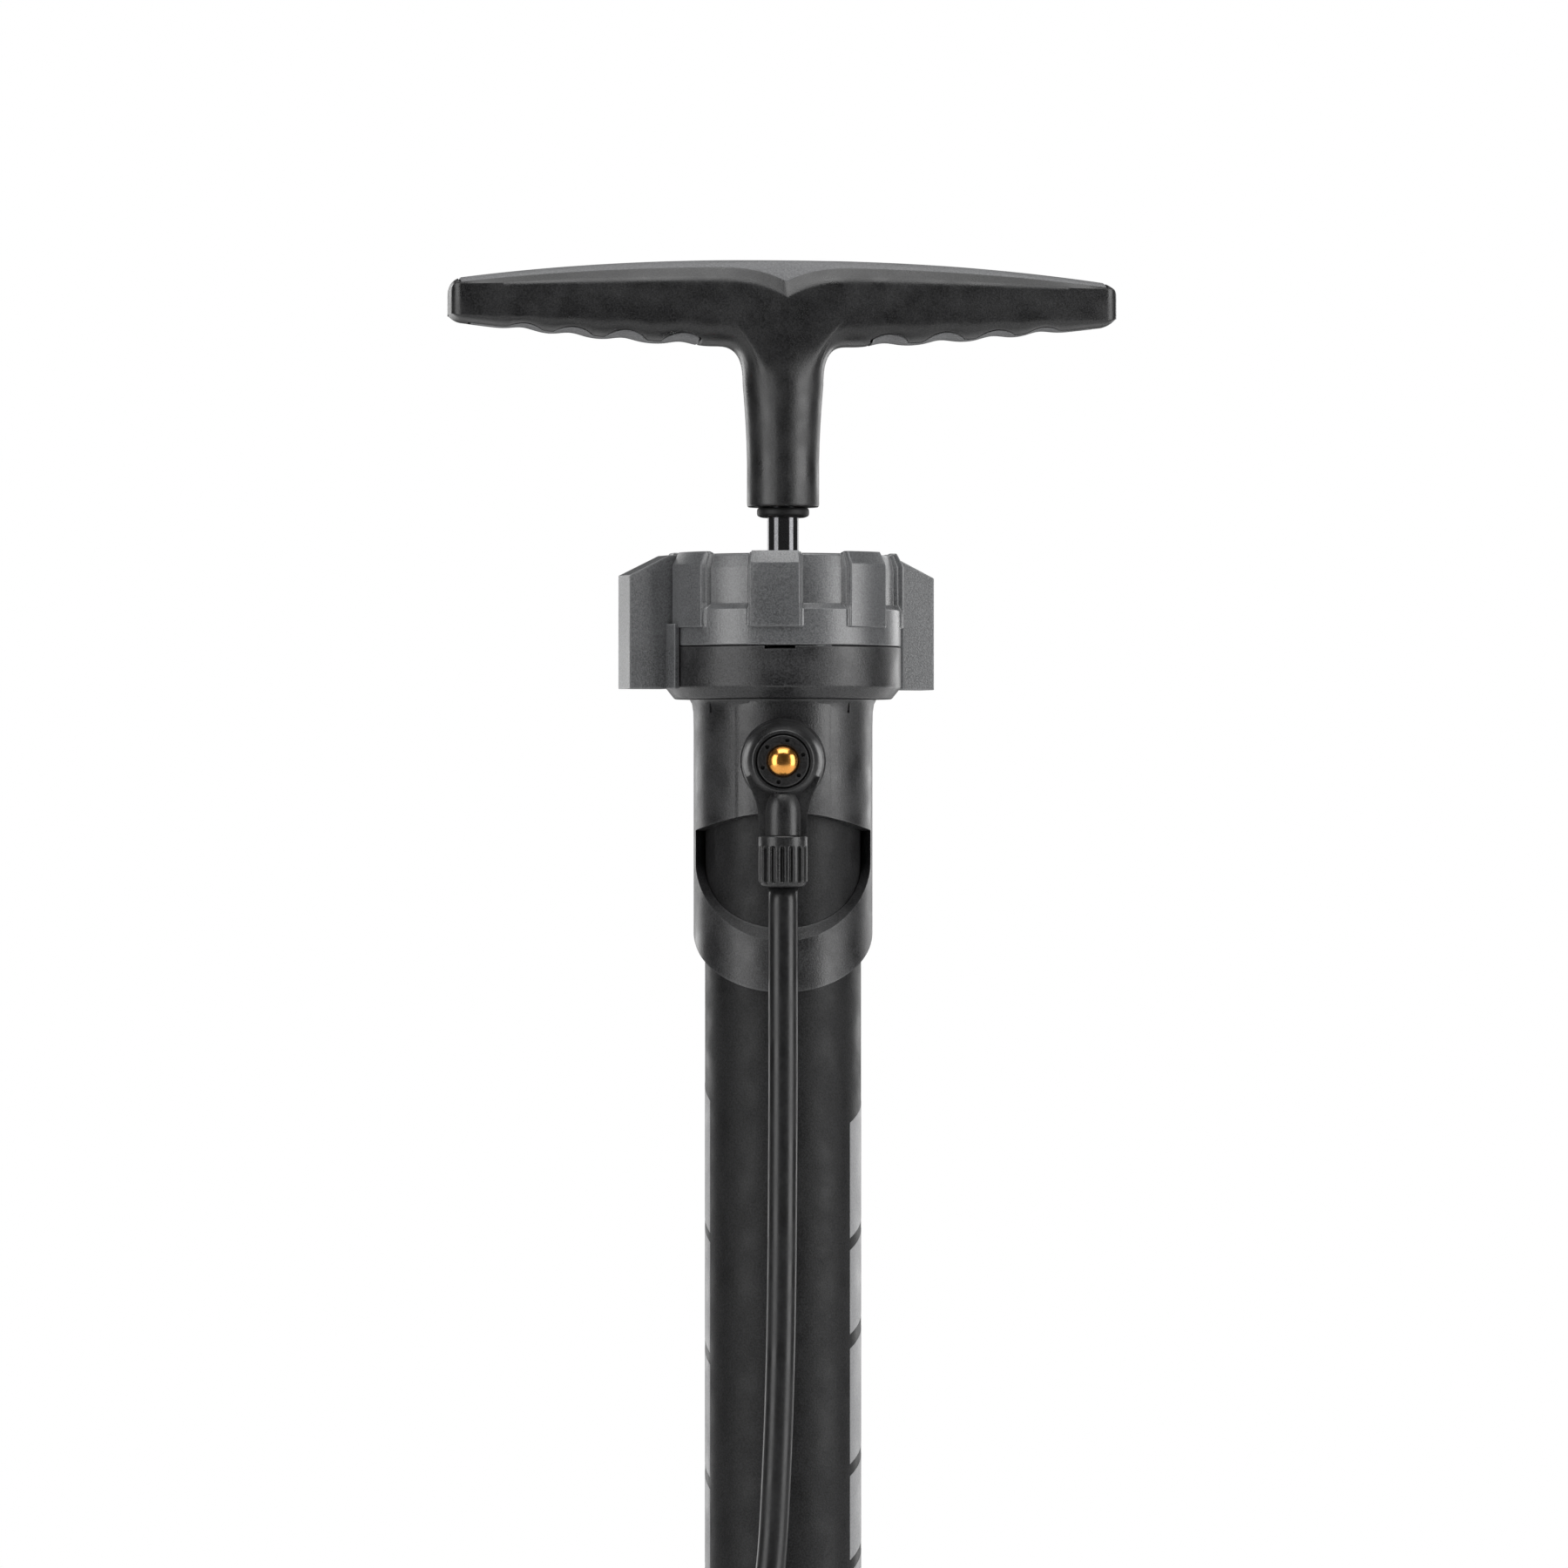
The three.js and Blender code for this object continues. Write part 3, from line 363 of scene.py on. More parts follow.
def fanned(rows):
    """A skin through closed rows, with each end closed by a fan from its middle."""
    points, faces = grid(rows, ends=False)
    count = len(rows[0])
    for start, row in ((0, rows[0]), ((len(rows) - 1) * count, rows[-1])):
        middle = sum((Vector(p) for p in row), Vector()) / count
        points.append(tuple(middle))
        faces += [[start + i, start + (i + 1) % count, len(points) - 1] for i in range(count)]
    return points, faces


def plug(radius, low, high, segments=24):
    """A plain round solid, to drill a hole with."""
    return turned(oblong(0, radius, low, high), segments)


def collar_of(section, radius, segments, steps=4):
    """A closed section with rounded corners, turned about Z."""
    return turned(rounded(section, radius, steps, True), segments, True)


def placed(solid, matrix):
    points, faces = solid
    return [tuple(matrix @ Vector(p)) for p in points], faces


def moved(solid, x=0, y=0, z=0):
    return placed(solid, Matrix.Translation((x, y, z)))


def spun(solid, degrees):
    return placed(solid, Matrix.Rotation(radians(degrees), 4, "Z"))


def facing_rear(solid, z=SWIVEL_Z, x=0):
    """Lays a solid made about Z on an axis along Y, with its +Z towards the rear."""
    return placed(solid, Matrix.Translation((x, 0, z)) @ Matrix.Rotation(pi / 2, 4, "X"))


def along_side(solid, y=HEAD_Y, z=HEAD_Z):
    """Lays a solid made about Z on an axis along X."""
    return placed(solid, Matrix.Translation((0, y, z)) @ Matrix.Rotation(pi / 2, 4, "Y"))


def upright(outline, y_low, y_high):
    """An outline in X and Z, between two places along Y."""
    points, faces = prism([(x, z) for x, z in outline], -y_high, -y_low)
    return [(x, -depth, z) for x, z, depth in points], faces


def box(x0, x1, y0, y1, z0, z1):
    return prism(oblong(x0, x1, y0, y1), z0, z1)


# --- pieces


def raw(name, solids):
    """An object made of solids, with nothing done to it yet."""
    work = bmesh.new()
    for points, faces in solids:
        corners = [work.verts.new((x * MM, y * MM, z * MM)) for x, y, z in points]
        for face in faces:
            try:
                work.faces.new([corners[i] for i in face])
            except ValueError:
                pass
    bmesh.ops.remove_doubles(work, verts=work.verts, dist=1e-7)
    bmesh.ops.recalc_face_normals(work, faces=work.faces)
    mesh = bpy.data.meshes.new(name)
    work.to_mesh(mesh)
    work.free()
    obj = bpy.data.objects.new(name, mesh)
    bpy.context.collection.objects.link(obj)
    return obj


def baked(obj):
    """The object with its modifiers worked into its mesh."""
    bpy.context.view_layer.update()
    graph = bpy.context.evaluated_depsgraph_get()
    mesh = bpy.data.meshes.new_from_object(obj.evaluated_get(graph), depsgraph=graph)
    obj.modifiers.clear()
    obj.data = mesh
    return obj


def carve(obj, solids, operation="DIFFERENCE"):
    for solid in solids:
        tool = raw("tool", [solid])
        change = obj.modifiers.new("carve", "BOOLEAN")
        change.object, change.operation, change.solver = tool, operation, "EXACT"
        baked(obj)
        bpy.data.objects.remove(tool)
    return obj


def tidy(obj, distance=0.03):
    """Takes out the slivers that carving leaves."""
    work = bmesh.new()
    work.from_mesh(obj.data)
    bmesh.ops.remove_doubles(work, verts=work.verts, dist=distance * MM)
    bmesh.ops.dissolve_degenerate(work, edges=work.edges, dist=0.01 * MM)
    work.to_mesh(obj.data)
    work.free()
    return obj


def finished(obj, mat, nodes=(), body="root", bevel=0.35, angle=30, yaw=0):
    """Rounds the edges, shades the piece, and puts it on its body in place of its CAD nodes."""
    if yaw:
        obj.data.transform(Matrix.Rotation(radians(yaw), 4, "Z"))
    obj.data.materials.clear()
    obj.data.materials.append(mat)
    obj.data.shade_smooth()
    if bevel:
        edge = obj.modifiers.new("edge", "BEVEL")
        edge.width, edge.segments = bevel * MM, 2
        edge.limit_method, edge.angle_limit = "ANGLE", radians(angle)
        edge.use_clamp_overlap = True
    weigh = obj.modifiers.new("normals", "WEIGHTED_NORMAL")
    weigh.keep_sharp = True
    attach(obj, body)
    if nodes:
        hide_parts(*nodes)
    return obj


def piece(name, solids, mat, nodes=(), body="root", **look):
    return finished(raw(name, solids), mat, nodes, body, **look)


# --- hose, made first

HOSE_ROUTE = [
    (0, -50, 478.4), (0, -50, 440), (0, -50, 400), (-0.2, -50, 360), (-0.5, -50, 320), (-1.2, -50, 280),
    (-2.6, -50.2, 240), (-5, -50.8, 200), (-7.9, -53.9, 181), (-13.4, -58.2, 163), (-21.4, -61, 145.5),
    (-31, -61.1, 128.5), (-41.2, -57.5, 112), (-50.7, -49.1, 97.5), (-58.6, -36, 85.5), (-63.9, -19, 77.2),
    (-66, 0, 74), (-63.9, 22.8, 77.2), (-56.8, 42.2, 87.7), (-46.2, 55.3, 103.5), (-33.8, 61.1, 122),
    (-21.1, 61, 141.5), (-11.2, 60, 162.5), (-4.4, 58.2, 184), (-0.7, 56, 207), (0, 54, 232),
    (0, 54, 280), (0, 54, 340), (0, 54, 400), (0, 54, 470),
]


def smooth_route(points, steps=6):
    """Points along the centripetal Catmull-Rom curve through the route."""
    route = [Vector(p) for p in points]
    route = [route[0] * 2 - route[1]] + route + [route[-1] * 2 - route[-2]]
    result = []
    for p0, p1, p2, p3 in zip(route, route[1:], route[2:], route[3:]):
        d0, d1, d2 = [(b - a).length ** 0.5 for a, b in ((p0, p1), (p1, p2), (p2, p3))]
        leave = ((p1 - p0) / d0 - (p2 - p0) / (d0 + d1) + (p2 - p1) / d1) * d1
        arrive = ((p2 - p1) / d1 - (p3 - p1) / (d1 + d2) + (p3 - p2) / d2) * d1
        for k in range(steps):
            t = k / steps
            result.append(p1 * (2 * t ** 3 - 3 * t ** 2 + 1) + leave * (t ** 3 - 2 * t ** 2 + t)
                          + p2 * (3 * t ** 2 - 2 * t ** 3) + arrive * (t ** 3 - t ** 2))
    result.append(route[-2])
    return result


def make_hose():
    line = smooth_route(HOSE_ROUTE)
    rows, side = [], Vector((1, 0, 0))
    for i, here in enumerate(line):
        ahead = (line[min(i + 1, len(line) - 1)] - line[max(i - 1, 0)]).normalized()
        side = (side - ahead * side.dot(ahead)).normalized()
        up = ahead.cross(side)
        rows.append([here + side * (HOSE_R * cos(a)) + up * (HOSE_R * sin(a))
                     for a in (2 * pi * k / HOSE_SIDES for k in range(HOSE_SIDES))])
    hose = raw("hose", [grid([[tuple(p) for p in row] for row in rows])])
    hose.data.materials.append(HOSE_RUBBER)
    hose.data.shade_smooth()
    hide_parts("air_hose")
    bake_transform(hose)
    return hose, [tuple(p * MM) for p in line]


# --- handle

ARM_END, JOIN_X, SPINE = 140.1, 27.0, 716.0
# The waves for the fingers: the middle of each, its half width in the pad's seam, and its height there.
FINGERS = ((43, 9, 0.34), (67, 8.2, 0.34), (89, 7.8, 0.3), (109, 6.6, 0.26))
PAD_END = 136.0
STEM_R, STEM_TOP, STEM_LOW, STEM_BOTTOM = 15.1, 688, 637.2, 636.8
TIP_ROUND = 5.2


def arm_top(x):
    return 740 - 9 * (abs(x) / ARM_END) ** 2.2


def arm_bottom(x):
    """The underside, with a shallow wave for each finger."""
    base = 704 + 9.6 * max(0, (abs(x) - 30) / (ARM_END - 30)) ** 1.5
    wave = sum(1.5 * exp(-(((abs(x) - c) / 6.2) ** 2)) for c, _, _ in FINGERS)
    return base + wave


def arm_depth(x):
    return 16 - 3.5 * (abs(x) / ARM_END) ** 3


def cusp(x, drop):
    """The dip of a seam into its V at the middle of the handle."""
    return drop * max(0, 1 - abs(x) / 34) ** 3


def pad_seam(x):
    return arm_top(x) - 3.6 + 1.4 * (abs(x) / ARM_END) ** 2 - cusp(x, 6.0)


def band_seam(x):
    fade = max(0, 1 - (abs(x) / 138) ** 3)
    return pad_seam(x) - 4.9 * fade - 0.6 - cusp(x, 0.9)


def grip_seam(x):
    """How far round the underside the finger pad starts: 1 is under the middle, lower is up the side."""
    return 0.78 - sum(h * max(0, 1 - ((abs(x) - c) / w) ** 2) ** 0.5 for c, w, h in FINGERS)


def handle_section(x):
    """Half of the crossbar's section at x, as named rows of (y, z) from the top down to the bottom."""
    from_tip = ARM_END - abs(x)
    round_off = TIP_ROUND - sqrt(max(0, TIP_ROUND ** 2 - max(0, TIP_ROUND - from_tip) ** 2))
    round_off *= 0.85
    depth = arm_depth(x) + 0.55 * max(0, 1 - abs(x) / 7) - round_off
    top, bottom = arm_top(x) - round_off, arm_bottom(x) + round_off
    seam = min(pad_seam(x), top - 0.8)
    band = min(band_seam(x), seam - 0.5)
    pad_y, band_y = depth * 0.72, depth * 0.955
    spine = min(SPINE, bottom + (top - bottom) * 0.45)
    crown = [(pad_y * t, top - (top - seam) * t ** 2.2) for t in (0, 0.25, 0.5, 0.75, 0.9, 1)]
    bevel = [(pad_y + (band_y - pad_y) * t, seam + (band - seam) * t) for t in (0.33, 0.66, 1)]
    side = [(band_y + (depth - band_y) * sin(t * pi / 2), band + (spine - band) * t)
            for t in (0.12, 0.4, 0.7, 1)]

    def under(t):
        angle = t * pi / 2
        return (depth * max(0, cos(angle)) ** 0.72, spine - (spine - bottom) * sin(angle) ** 0.85)

    split = grip_seam(x)
    lower = [under(split * k / 7) for k in range(1, 8)]
    belly = [under(split + (1 - split) * k / 5) for k in range(1, 6)]
    return crown, bevel, side, lower, belly


def handle_stations():
    xs = [0, 1.2, 2.4, 4, 6, 8, 10, 12, 14, 16, 18, 20, 22, 24, 25.6, JOIN_X]
    xs += [JOIN_X + 1.2 * k for k in range(1, 91)]
    xs = [x for x in xs if x < 134.6] + [135.2, 136, 136.6, 137.3, 138, 138.7, 139.2, 139.6, 139.9, ARM_END]
    return [-x for x in reversed(xs[1:])] + xs


def sunk(rows, amount):
    """Rows of (y, z) moved towards the inside of the section."""
    return [(y - amount * min(1, y / 6), z - amount) for y, z in rows]


def handle_core():
    xs = handle_stations()
    loops = []
    for x in xs:
        crown, bevel, side, lower, belly = handle_section(x)
        on_pad = abs(x) <= PAD_END
        under_pad = 36.4 <= abs(x) <= 131.6
        floor = sunk(crown, 1.6) if on_pad else crown
        pit = [(y * 0.9, z + 1.5) for y, z in belly] if under_pad else belly
        last = (lower[-1][0] * 0.93, lower[-1][1] + 1.4) if under_pad else lower[-1]
        half = floor + [crown[-1]] + bevel + side + lower + [last] + pit
        rear = [(x, -y, z) for y, z in half]
        front = [(x, y, z) for y, z in reversed(half[1:-1])]
        loops.append(rear + front)
    count = len(loops[0])
    # Rows down to the widest point: the pad's crown, its edge, the bevel and the side.
    spine_rear = 6 + 1 + 3 + 4 - 1
    spine_front = count - spine_rear
    left, right = xs.index(-JOIN_X), xs.index(JOIN_X)
    points = [p for loop in loops for p in loop]
    faces = []
    for r in range(len(loops) - 1):
        middle = left <= r < right
        for i in range(count):
            if middle and spine_rear <= i < spine_front:
                continue
            j = (i + 1) % count
            faces.append([r * count + i, r * count + j, (r + 1) * count + j, (r + 1) * count + i])
    faces.append(list(range(count)))
    faces.append([(len(loops) - 1) * count + i for i in range(count)][::-1])
    # The stem grows out of the opening left under the middle.
    rim = [(r, spine_rear) for r in range(left, right + 1)]
    rim += [(right, i) for i in range(spine_rear + 1, spine_front + 1)]
    rim += [(r, spine_front) for r in range(right - 1, left - 1, -1)]
    rim += [(left, i) for i in range(spine_front - 1, spine_rear, -1)]
    anchor = [r * count + i for r, i in rim]
    starts = [Vector(points[a]) for a in anchor]
    aims, leaves = [], []
    for (r, i), start in zip(rim, starts):
        if r in (left, right) and spine_rear < i < spine_front:
            quarter = (i - spine_rear) / (spine_front - spine_rear)
            angle = radians(-45 + 90 * quarter)
            if r == left:
                angle = pi - angle
            edge = min(1, 0.55 + min(i - spine_rear, spine_front - i) / 5)
            across = copysign(1, -start.x)
            leaves.append(Vector((across * edge, 0, edge - 1)).normalized() * 9)
        else:
            angle = radians(-90 + 45 * start.x / JOIN_X) * (1 if start.y < 0 else -1)
            lean = 0.62 * (abs(start.x) / JOIN_X) ** 3
            leaves.append(Vector((copysign(lean, -start.x), 0, lean - 1)).normalized() * 11)
        aims.append(angle)

    def stem_ring(z):
        radius_x = STEM_R + 1.9 * max(0, (z - 655) / 34) ** 1.6
        radius_y = STEM_R + 0.9 * max(0, (z - 655) / 34)
        ring = []
        for angle in aims:
            ridge = 0.5 * max(0, 1 - abs(cos(angle)) * 2.4)
            ring.append(Vector(((radius_x + ridge) * cos(angle), (radius_y + ridge) * sin(angle), z)))
        return ring

    rings = []
    ends = stem_ring(STEM_TOP)
    for t in [k / 14 for k in range(1, 15)]:
        rings.append([
            start * (1 - t) ** 3 + (start + leave) * (3 * t * (1 - t) ** 2)
            + (end + Vector((0, 0, 9))) * (3 * t * t * (1 - t)) + end * t ** 3
            for start, leave, end in zip(starts, leaves, ends)])
    rings += [stem_ring(z) for z in (684, 678, 671, 664, 656, 648, 641, 638.2)]
    bottom = stem_ring(STEM_LOW)
    rings.append([Vector((p.x * 0.99, p.y * 0.99, STEM_LOW)) for p in bottom])
    rings.append([Vector((p.x * 0.965, p.y * 0.965, STEM_BOTTOM)) for p in bottom])
    for radius, z in ((7.6, STEM_BOTTOM), (7.0, 637.4), (7.0, 690), (3.2, 690.2), (3.2, 712)):
        rings.append([Vector((*polar(radius, a), z)) for a in aims])
    previous = anchor
    for ring in rings:
        current = list(range(len(points), len(points) + len(ring)))
        points += [tuple(p) for p in ring]
        for i in range(len(ring)):
            j = (i + 1) % len(ring)
            faces.append([previous[i], previous[j], current[j], current[i]])
        previous = current
    faces.append(previous)
    piece("handle_body", [(points, faces)], BLACK, ["handle_core"], "handle",
          bevel=0.18, angle=50, yaw=HANDLE_YAW)


def handle_pads():
    xs = [x for x in handle_stations() if abs(x) < PAD_END - 0.2]
    xs = [-(PAD_END - 0.2)] + xs + [PAD_END - 0.2]
    rows = []
    for x in xs:
        crown = handle_section(x)[0]
        pull = 0.35 if abs(x) > PAD_END - 0.6 else 0
        outer = [(y - (0.12 if k == 5 else 0), z + 0.12 - pull - (0.12 if k == 5 else 0))
                 for k, (y, z) in enumerate(crown)]
        inner = [(y - 0.16 if k == 5 else y, z) for k, (y, z) in enumerate(sunk(crown, 1.5))]
        rear = [(x, -y, z) for y, z in outer + inner[::-1]]
        front = [(x, y, z) for y, z in inner[1:] + outer[:0:-1]]
        rows.append(rear + front)
    piece("handle_grip_top", [grid(rows)], GRIP, ["handle_top_pad"], "handle",
          bevel=0.15, angle=40, yaw=HANDLE_YAW)
    for side, name, node in ((-1, "finger_grip_left", "finger_pad_left"),
                             (1, "finger_grip_right", "finger_pad_right")):
        rows = []
        for k in range(81):
            x = side * (36.6 + 94.8 * k / 80)
            lower, belly = handle_section(x)[3:]
            skin = [(y + 0.02, z - 0.05) for y, z in [lower[-1]] + belly]
            core = [(y * 0.9, z + 2.0) for y, z in [lower[-1]] + belly]
            rear = [(x, -y, z) for y, z in skin + core[::-1]]
            front = [(x, y, z) for y, z in core[:-1] + skin[:-1][::-1]]
            rows.append(rear + front)
        piece(name, [grid(rows)], GRIP, [node], "handle", bevel=0, yaw=HANDLE_YAW)


def rod_and_washer():
    profile = [(0, 42.4), (3.7, 42.4), (3.7, 62.3), (ROD_R, 62.3), (ROD_R, 689), (5.6, 690), (3, 690),
               (3, 668), (0, 668)]
    piece("rod", [turned(profile, 80)], CHROME, ["piston_rod"], "handle", bevel=0.15, yaw=HANDLE_YAW)
    washer = [(6.9, 632.4), (9, 632.4), (10.95, 633.2), (10.95, 636.5), (6.9, 636.5)]
    piece("bump_stop", [collar_of(washer, [0.3, 0.6, 1.4, 1.4, 0.3], 72)], RUBBER, ["bump_washer"],
          "handle", bevel=0, yaw=HANDLE_YAW)


# --- mode ring

BLOCK_HALF = 11.6
WING_LOW = 560.6
BLOCK_CENTRES = [side + centre for side in (0, 180) for centre in (-75, -25, 25, 75)]


def ring_profile(kind):
    """The ring's section where there is a block (2), its stepped side (1) or a recess (0)."""
    foot = [(44.2, 578.3), (48.8, 578.3), (49.25, 578.8), (49.25, 585.8)]
    if kind == 2:
        body = [(50.2, 586.0), (50.45, 586.5), (50.45, 590), (50.45, 593.2), (50.45, 595.4), (50.45, 596),
                (50.45, 603), (50.45, 611.6), (50.2, 612.4), (47.9, 616.7), (47.5, 617.3), (45, 617.3)]
    elif kind == 1:
        body = [(49.5, 586.1), (49.6, 586.7), (49.6, 590), (49.5, 593.2), (48.5, 595.2), (48.3, 596),
                (48.3, 603), (48.2, 610.9), (48.1, 611.6), (46.4, 616.2), (46.1, 616.7), (44.8, 616.9)]
    else:
        body = [(49.25, 586.1), (49.25, 586.7), (49.25, 590), (49.15, 593.3), (46.6, 595.2), (46.3, 595.9),
                (46.2, 603), (46.3, 610.2), (46.1, 610.9), (45.2, 615.2), (44.9, 615.9), (44.6, 616.1)]
    return foot + body + [(44.2, body[-1][1] - 0.2)]


def blended(a, b, t):
    return [(p[0] + (q[0] - p[0]) * t, p[1] + (q[1] - p[1]) * t) for p, q in zip(a, b)]


def mode_ring():
    block, step, recess = ring_profile(2), ring_profile(1), ring_profile(0)
    marks = []
    for centre in BLOCK_CENTRES:
        for side in (-1, 1):
            shape = ((BLOCK_HALF, block), (BLOCK_HALF + 0.35, blended(block, step, 0.12)),
                     (BLOCK_HALF + 0.75, blended(block, step, 0.8)), (BLOCK_HALF + 0.95, step),
                     (BLOCK_HALF + 1.5, step), (BLOCK_HALF + 1.7, blended(step, recess, 0.15)),
                     (BLOCK_HALF + 2.3, blended(step, recess, 0.85)), (BLOCK_HALF + 2.6, recess))
            marks += [(centre + side * angle, profile) for angle, profile in shape]
        marks += [(centre + BLOCK_HALF * k / 5, block) for k in range(-4, 5)]
    for low, high in zip(BLOCK_CENTRES, BLOCK_CENTRES[1:] + [BLOCK_CENTRES[0] + 360]):
        start, end = low + BLOCK_HALF + 2.6, high - BLOCK_HALF - 2.6
        marks += [(start + (end - start) * k / 9, recess) for k in range(1, 9)]
    marks.sort(key=lambda mark: mark[0])
    rows = []
    for angle, profile in marks:
        turn = radians(angle)
        rows.append([(*from_rear(r, turn), z) for r, z in profile])
    rows.append(rows[0])
    solids = [grid(rows, ends=False)]
    for side in (-1, 1):
        outline = [(49.6, WING_LOW), (68.2, WING_LOW), (68.2, 607.7), (50.6, 616.2), (44.9, 616.2),
                   (44.9, 578.6), (49.6, 578.6)]
        outline = [(side * x, z) for x, z in outline]
        solids.append(upright(outline, 0.0, 14))
        tab = []
        low, high = (90 - 9, 91) if side > 0 else (-91, -90 + 9)
        for radius, order in ((51.9, range(7)), (49.75, range(6, -1, -1))):
            for k in order:
                turn = radians(low + (high - low) * k / 6)
                tab.append(from_rear(radius, turn))
        solids.append(prism(tab, WING_LOW, 587.5))
    piece("mode_dial_ring", solids, GREY, ["mode_ring"], "mode_selector",
          bevel=0.4, angle=34, yaw=RING_YAW)


# --- housing, casing, barrel


def gauge_housing():
    profile = [(33.1, 556.4), (45.4, 556.4), (HOUSING_R, 561.3), (HOUSING_R, 578), (46.3, 578),
               (46.3, 560), (33.1, 560)]
    housing = raw("gauge_body", [collar_of(profile, [0, 0.7, 0.7, 0.5, 0.3, 0.3, 0], 144, 3)])
    carve(housing, [box(-7.6, 5.1, -60, -40, 576.7, 580)])
    finished(housing, CASE_BLACK, ["gauge_housing"], bevel=0.2)


# The rear window's rows: radius, half its width there as a share of it, height at its sides and at
# the middle of its floor, and the floor's curve.
WINDOW = ((24, 0.997, 491, 461.3, 0.81), (33, 0.997, 491, 461.3, 0.81), (CASING_R, 0.976, 488, 456, 1.05),
          (42, 0.97, 486, 450, 1.1), (95, 0.97, 486, 450, 1.1))


def window_cutter():
    """The rear window, wider and lower outside than inside, so that a sloped ledge is left below it."""
    rows = []
    for radius, reach, side, floor, curve in WINDOW:
        row = []
        for k in range(49):
            turn = radians(-90 + 180 * k / 48)
            row.append((reach * sin(turn), side - (side - floor) * cos(turn) ** curve))
        top = 501.2 + (0.5 if radius > 33 else 0)
        row += [(reach * (1 - 2 * k / 24), top + 7.6 * (1 - (1 - 2 * k / 24) ** 2)) for k in range(25)]
        rows.append([(radius * x, -radius * sqrt(1 - x * x), z) for x, z in row])
    return fanned(rows)


def upper_casing():
    skin = [(CASING_R - 0.5, 430), (CASING_R, 430.6)]
    skin += [(CASING_R, z) for z in range(445, 546, 10)]
    skin += [(CASING_R + 0.15, 551), (CASING_R + 0.7, 554.4), (CASING_R + 1.6, CASING_TOP)]
    casing = raw("head_casing", [turned([(CASING_BORE_R, 430)] + skin + [(CASING_BORE_R, CASING_TOP)],
                 128, True)])
    outline = [(-20, -27)]
    for k in range(25):
        turn, radius = radians(-32 + 64 * k / 24), CASING_R + 0.3 + 0.6 * sin(pi * k / 24) ** 0.5
        outline.append(from_rear(radius, turn))
    outline += [(20, -27)]
    carve(casing, [prism(outline, 470, 555.2)], "UNION")
    for x in (-30, 27.2):
        rib = spun(moved(box(-0.5, 0.5, -1.0, 1.0, 550.5, 555.9), y=-CASING_R),
                   degrees(asin(x / CASING_R)))
        carve(casing, [rib], "UNION")
    slope = atan((CASING_SIDE - CASING_REAR) / CASING_R)
    under = placed(box(-60, 60, -90, 90, -80, 0),
                   Matrix.Translation((0, 0, CASING_SIDE)) @ Matrix.Rotation(slope, 4, "X"))
    port = facing_rear(plug(PORT_R, 25, 45, 32))
    hollow = plug(CASING_BORE_R, 400, 600, 128)
    notches = [moved(spun(box(-1.3, 1.3, -1.6, 1.6, 473.5, 478), 45), side * 27.6, -25.0)
               for side in (-1, 1)]
    carve(casing, [hollow, under, window_cutter(), port] + notches)
    tidy(casing)
    finished(casing, CASE_BLACK, ["upper_casing"], bevel=0.35, angle=35)


def barrel():
    inner = BARREL_R - 2.0
    wall = [(inner, BARREL_BOTTOM), (BARREL_R, BARREL_BOTTOM)]
    wall += [(BARREL_R, z) for z in range(60, 541, 40)]
    wall += [(BARREL_R, BARREL_TOP), (inner, BARREL_TOP)]
    tube = raw("barrel", [turned(wall, 128, True)])
    carve(tube, [facing_rear(plug(PORT_R, 25, 40, 32))])
    finished(tube, PAINT, ["chamber_tube"], bevel=0.2)


def barrel_stripes():
    """Plain slanted bars, printed down both sides of the barrel."""
    left = ((397, 342), (338, 292), (287, 240), (235, 198), (193, 150), (145, 96))
    right = ((388, 340), (335, 300), (294, 246), (241, 206), (201, 154), (149, 96))
    solids = []
    for start, end, bars, lean in ((58.5, 122, right, 16), (-122, -68.5, left, -16)):
        for high, low in bars:
            rows = []
            for k in range(17):
                angle = radians(start + (end - start) * k / 16)
                shift = lean * (k / 16 - 0.5)
                outer, inner = from_rear(BARREL_R + 0.07, angle), from_rear(BARREL_R - 0.15, angle)
                rows.append([(*outer, low + shift), (*outer, high + shift), (*inner, high + shift),
                             (*inner, low + shift)])
            solids.append(grid(rows))
    piece("barrel_stripes", solids, PRINT, bevel=0)


# --- gauge

DIAL_TOP, DIAL_SWEEP, DIAL_STEPS = 601, 270, 60
PRINT_LOW, PRINT_HIGH = 600.9, 601.08


def gauge():
    case = [(8.5, 574.3), (13, 574.3), (13, 580), (43.6, 580), (43.6, 613), (41.6, 613), (41.6, 583),
            (10.5, 583), (10.5, 611), (8.5, 611)]
    piece("gauge_cup", [turned(case, 112, True)], CASE_BLACK, ["gauge_case"], bevel=0.25)
    bezel = [(39.2, 611.5), (41.2, 611.5), (41.2, 613.3), (43.6, 613.3), (43.2, 616.2), (40.8, 616.6),
             (39.2, 615)]
    rim = collar_of(bezel, [0, 0, 0, 0, 0.7, 0.9, 0.5], 128)
    piece("gauge_rim", [rim], BLACK, ["gauge_bezel"], bevel=0.1)
    lens = collar_of(oblong(10.8, 41.3, 609.2, 611.2), 0.3, 112)
    piece("gauge_window", [lens], LENS, ["gauge_lens"], bevel=0)
    card = collar_of(oblong(15.2, 41.3, 600, DIAL_TOP), 0.15, 112, 2)
    piece("dial_card", [card], DIAL_WHITE, ["gauge_dial"], bevel=0)
    hub = collar_of(oblong(10.9, 14.4, 601.4, 605.4), 0.4, 64)
    arm = prism([(-1.8, 12.9), (1.8, 12.9), (0.9, 34), (0.2, 37.5), (-0.2, 37.5), (-0.9, 34)], 603.4, 604.8)
    piece("needle", [hub, arm], POINTER_RED, ["gauge_pointer"], "gauge_needle", bevel=0.2, yaw=POINTER_YAW)
    dial_marks()


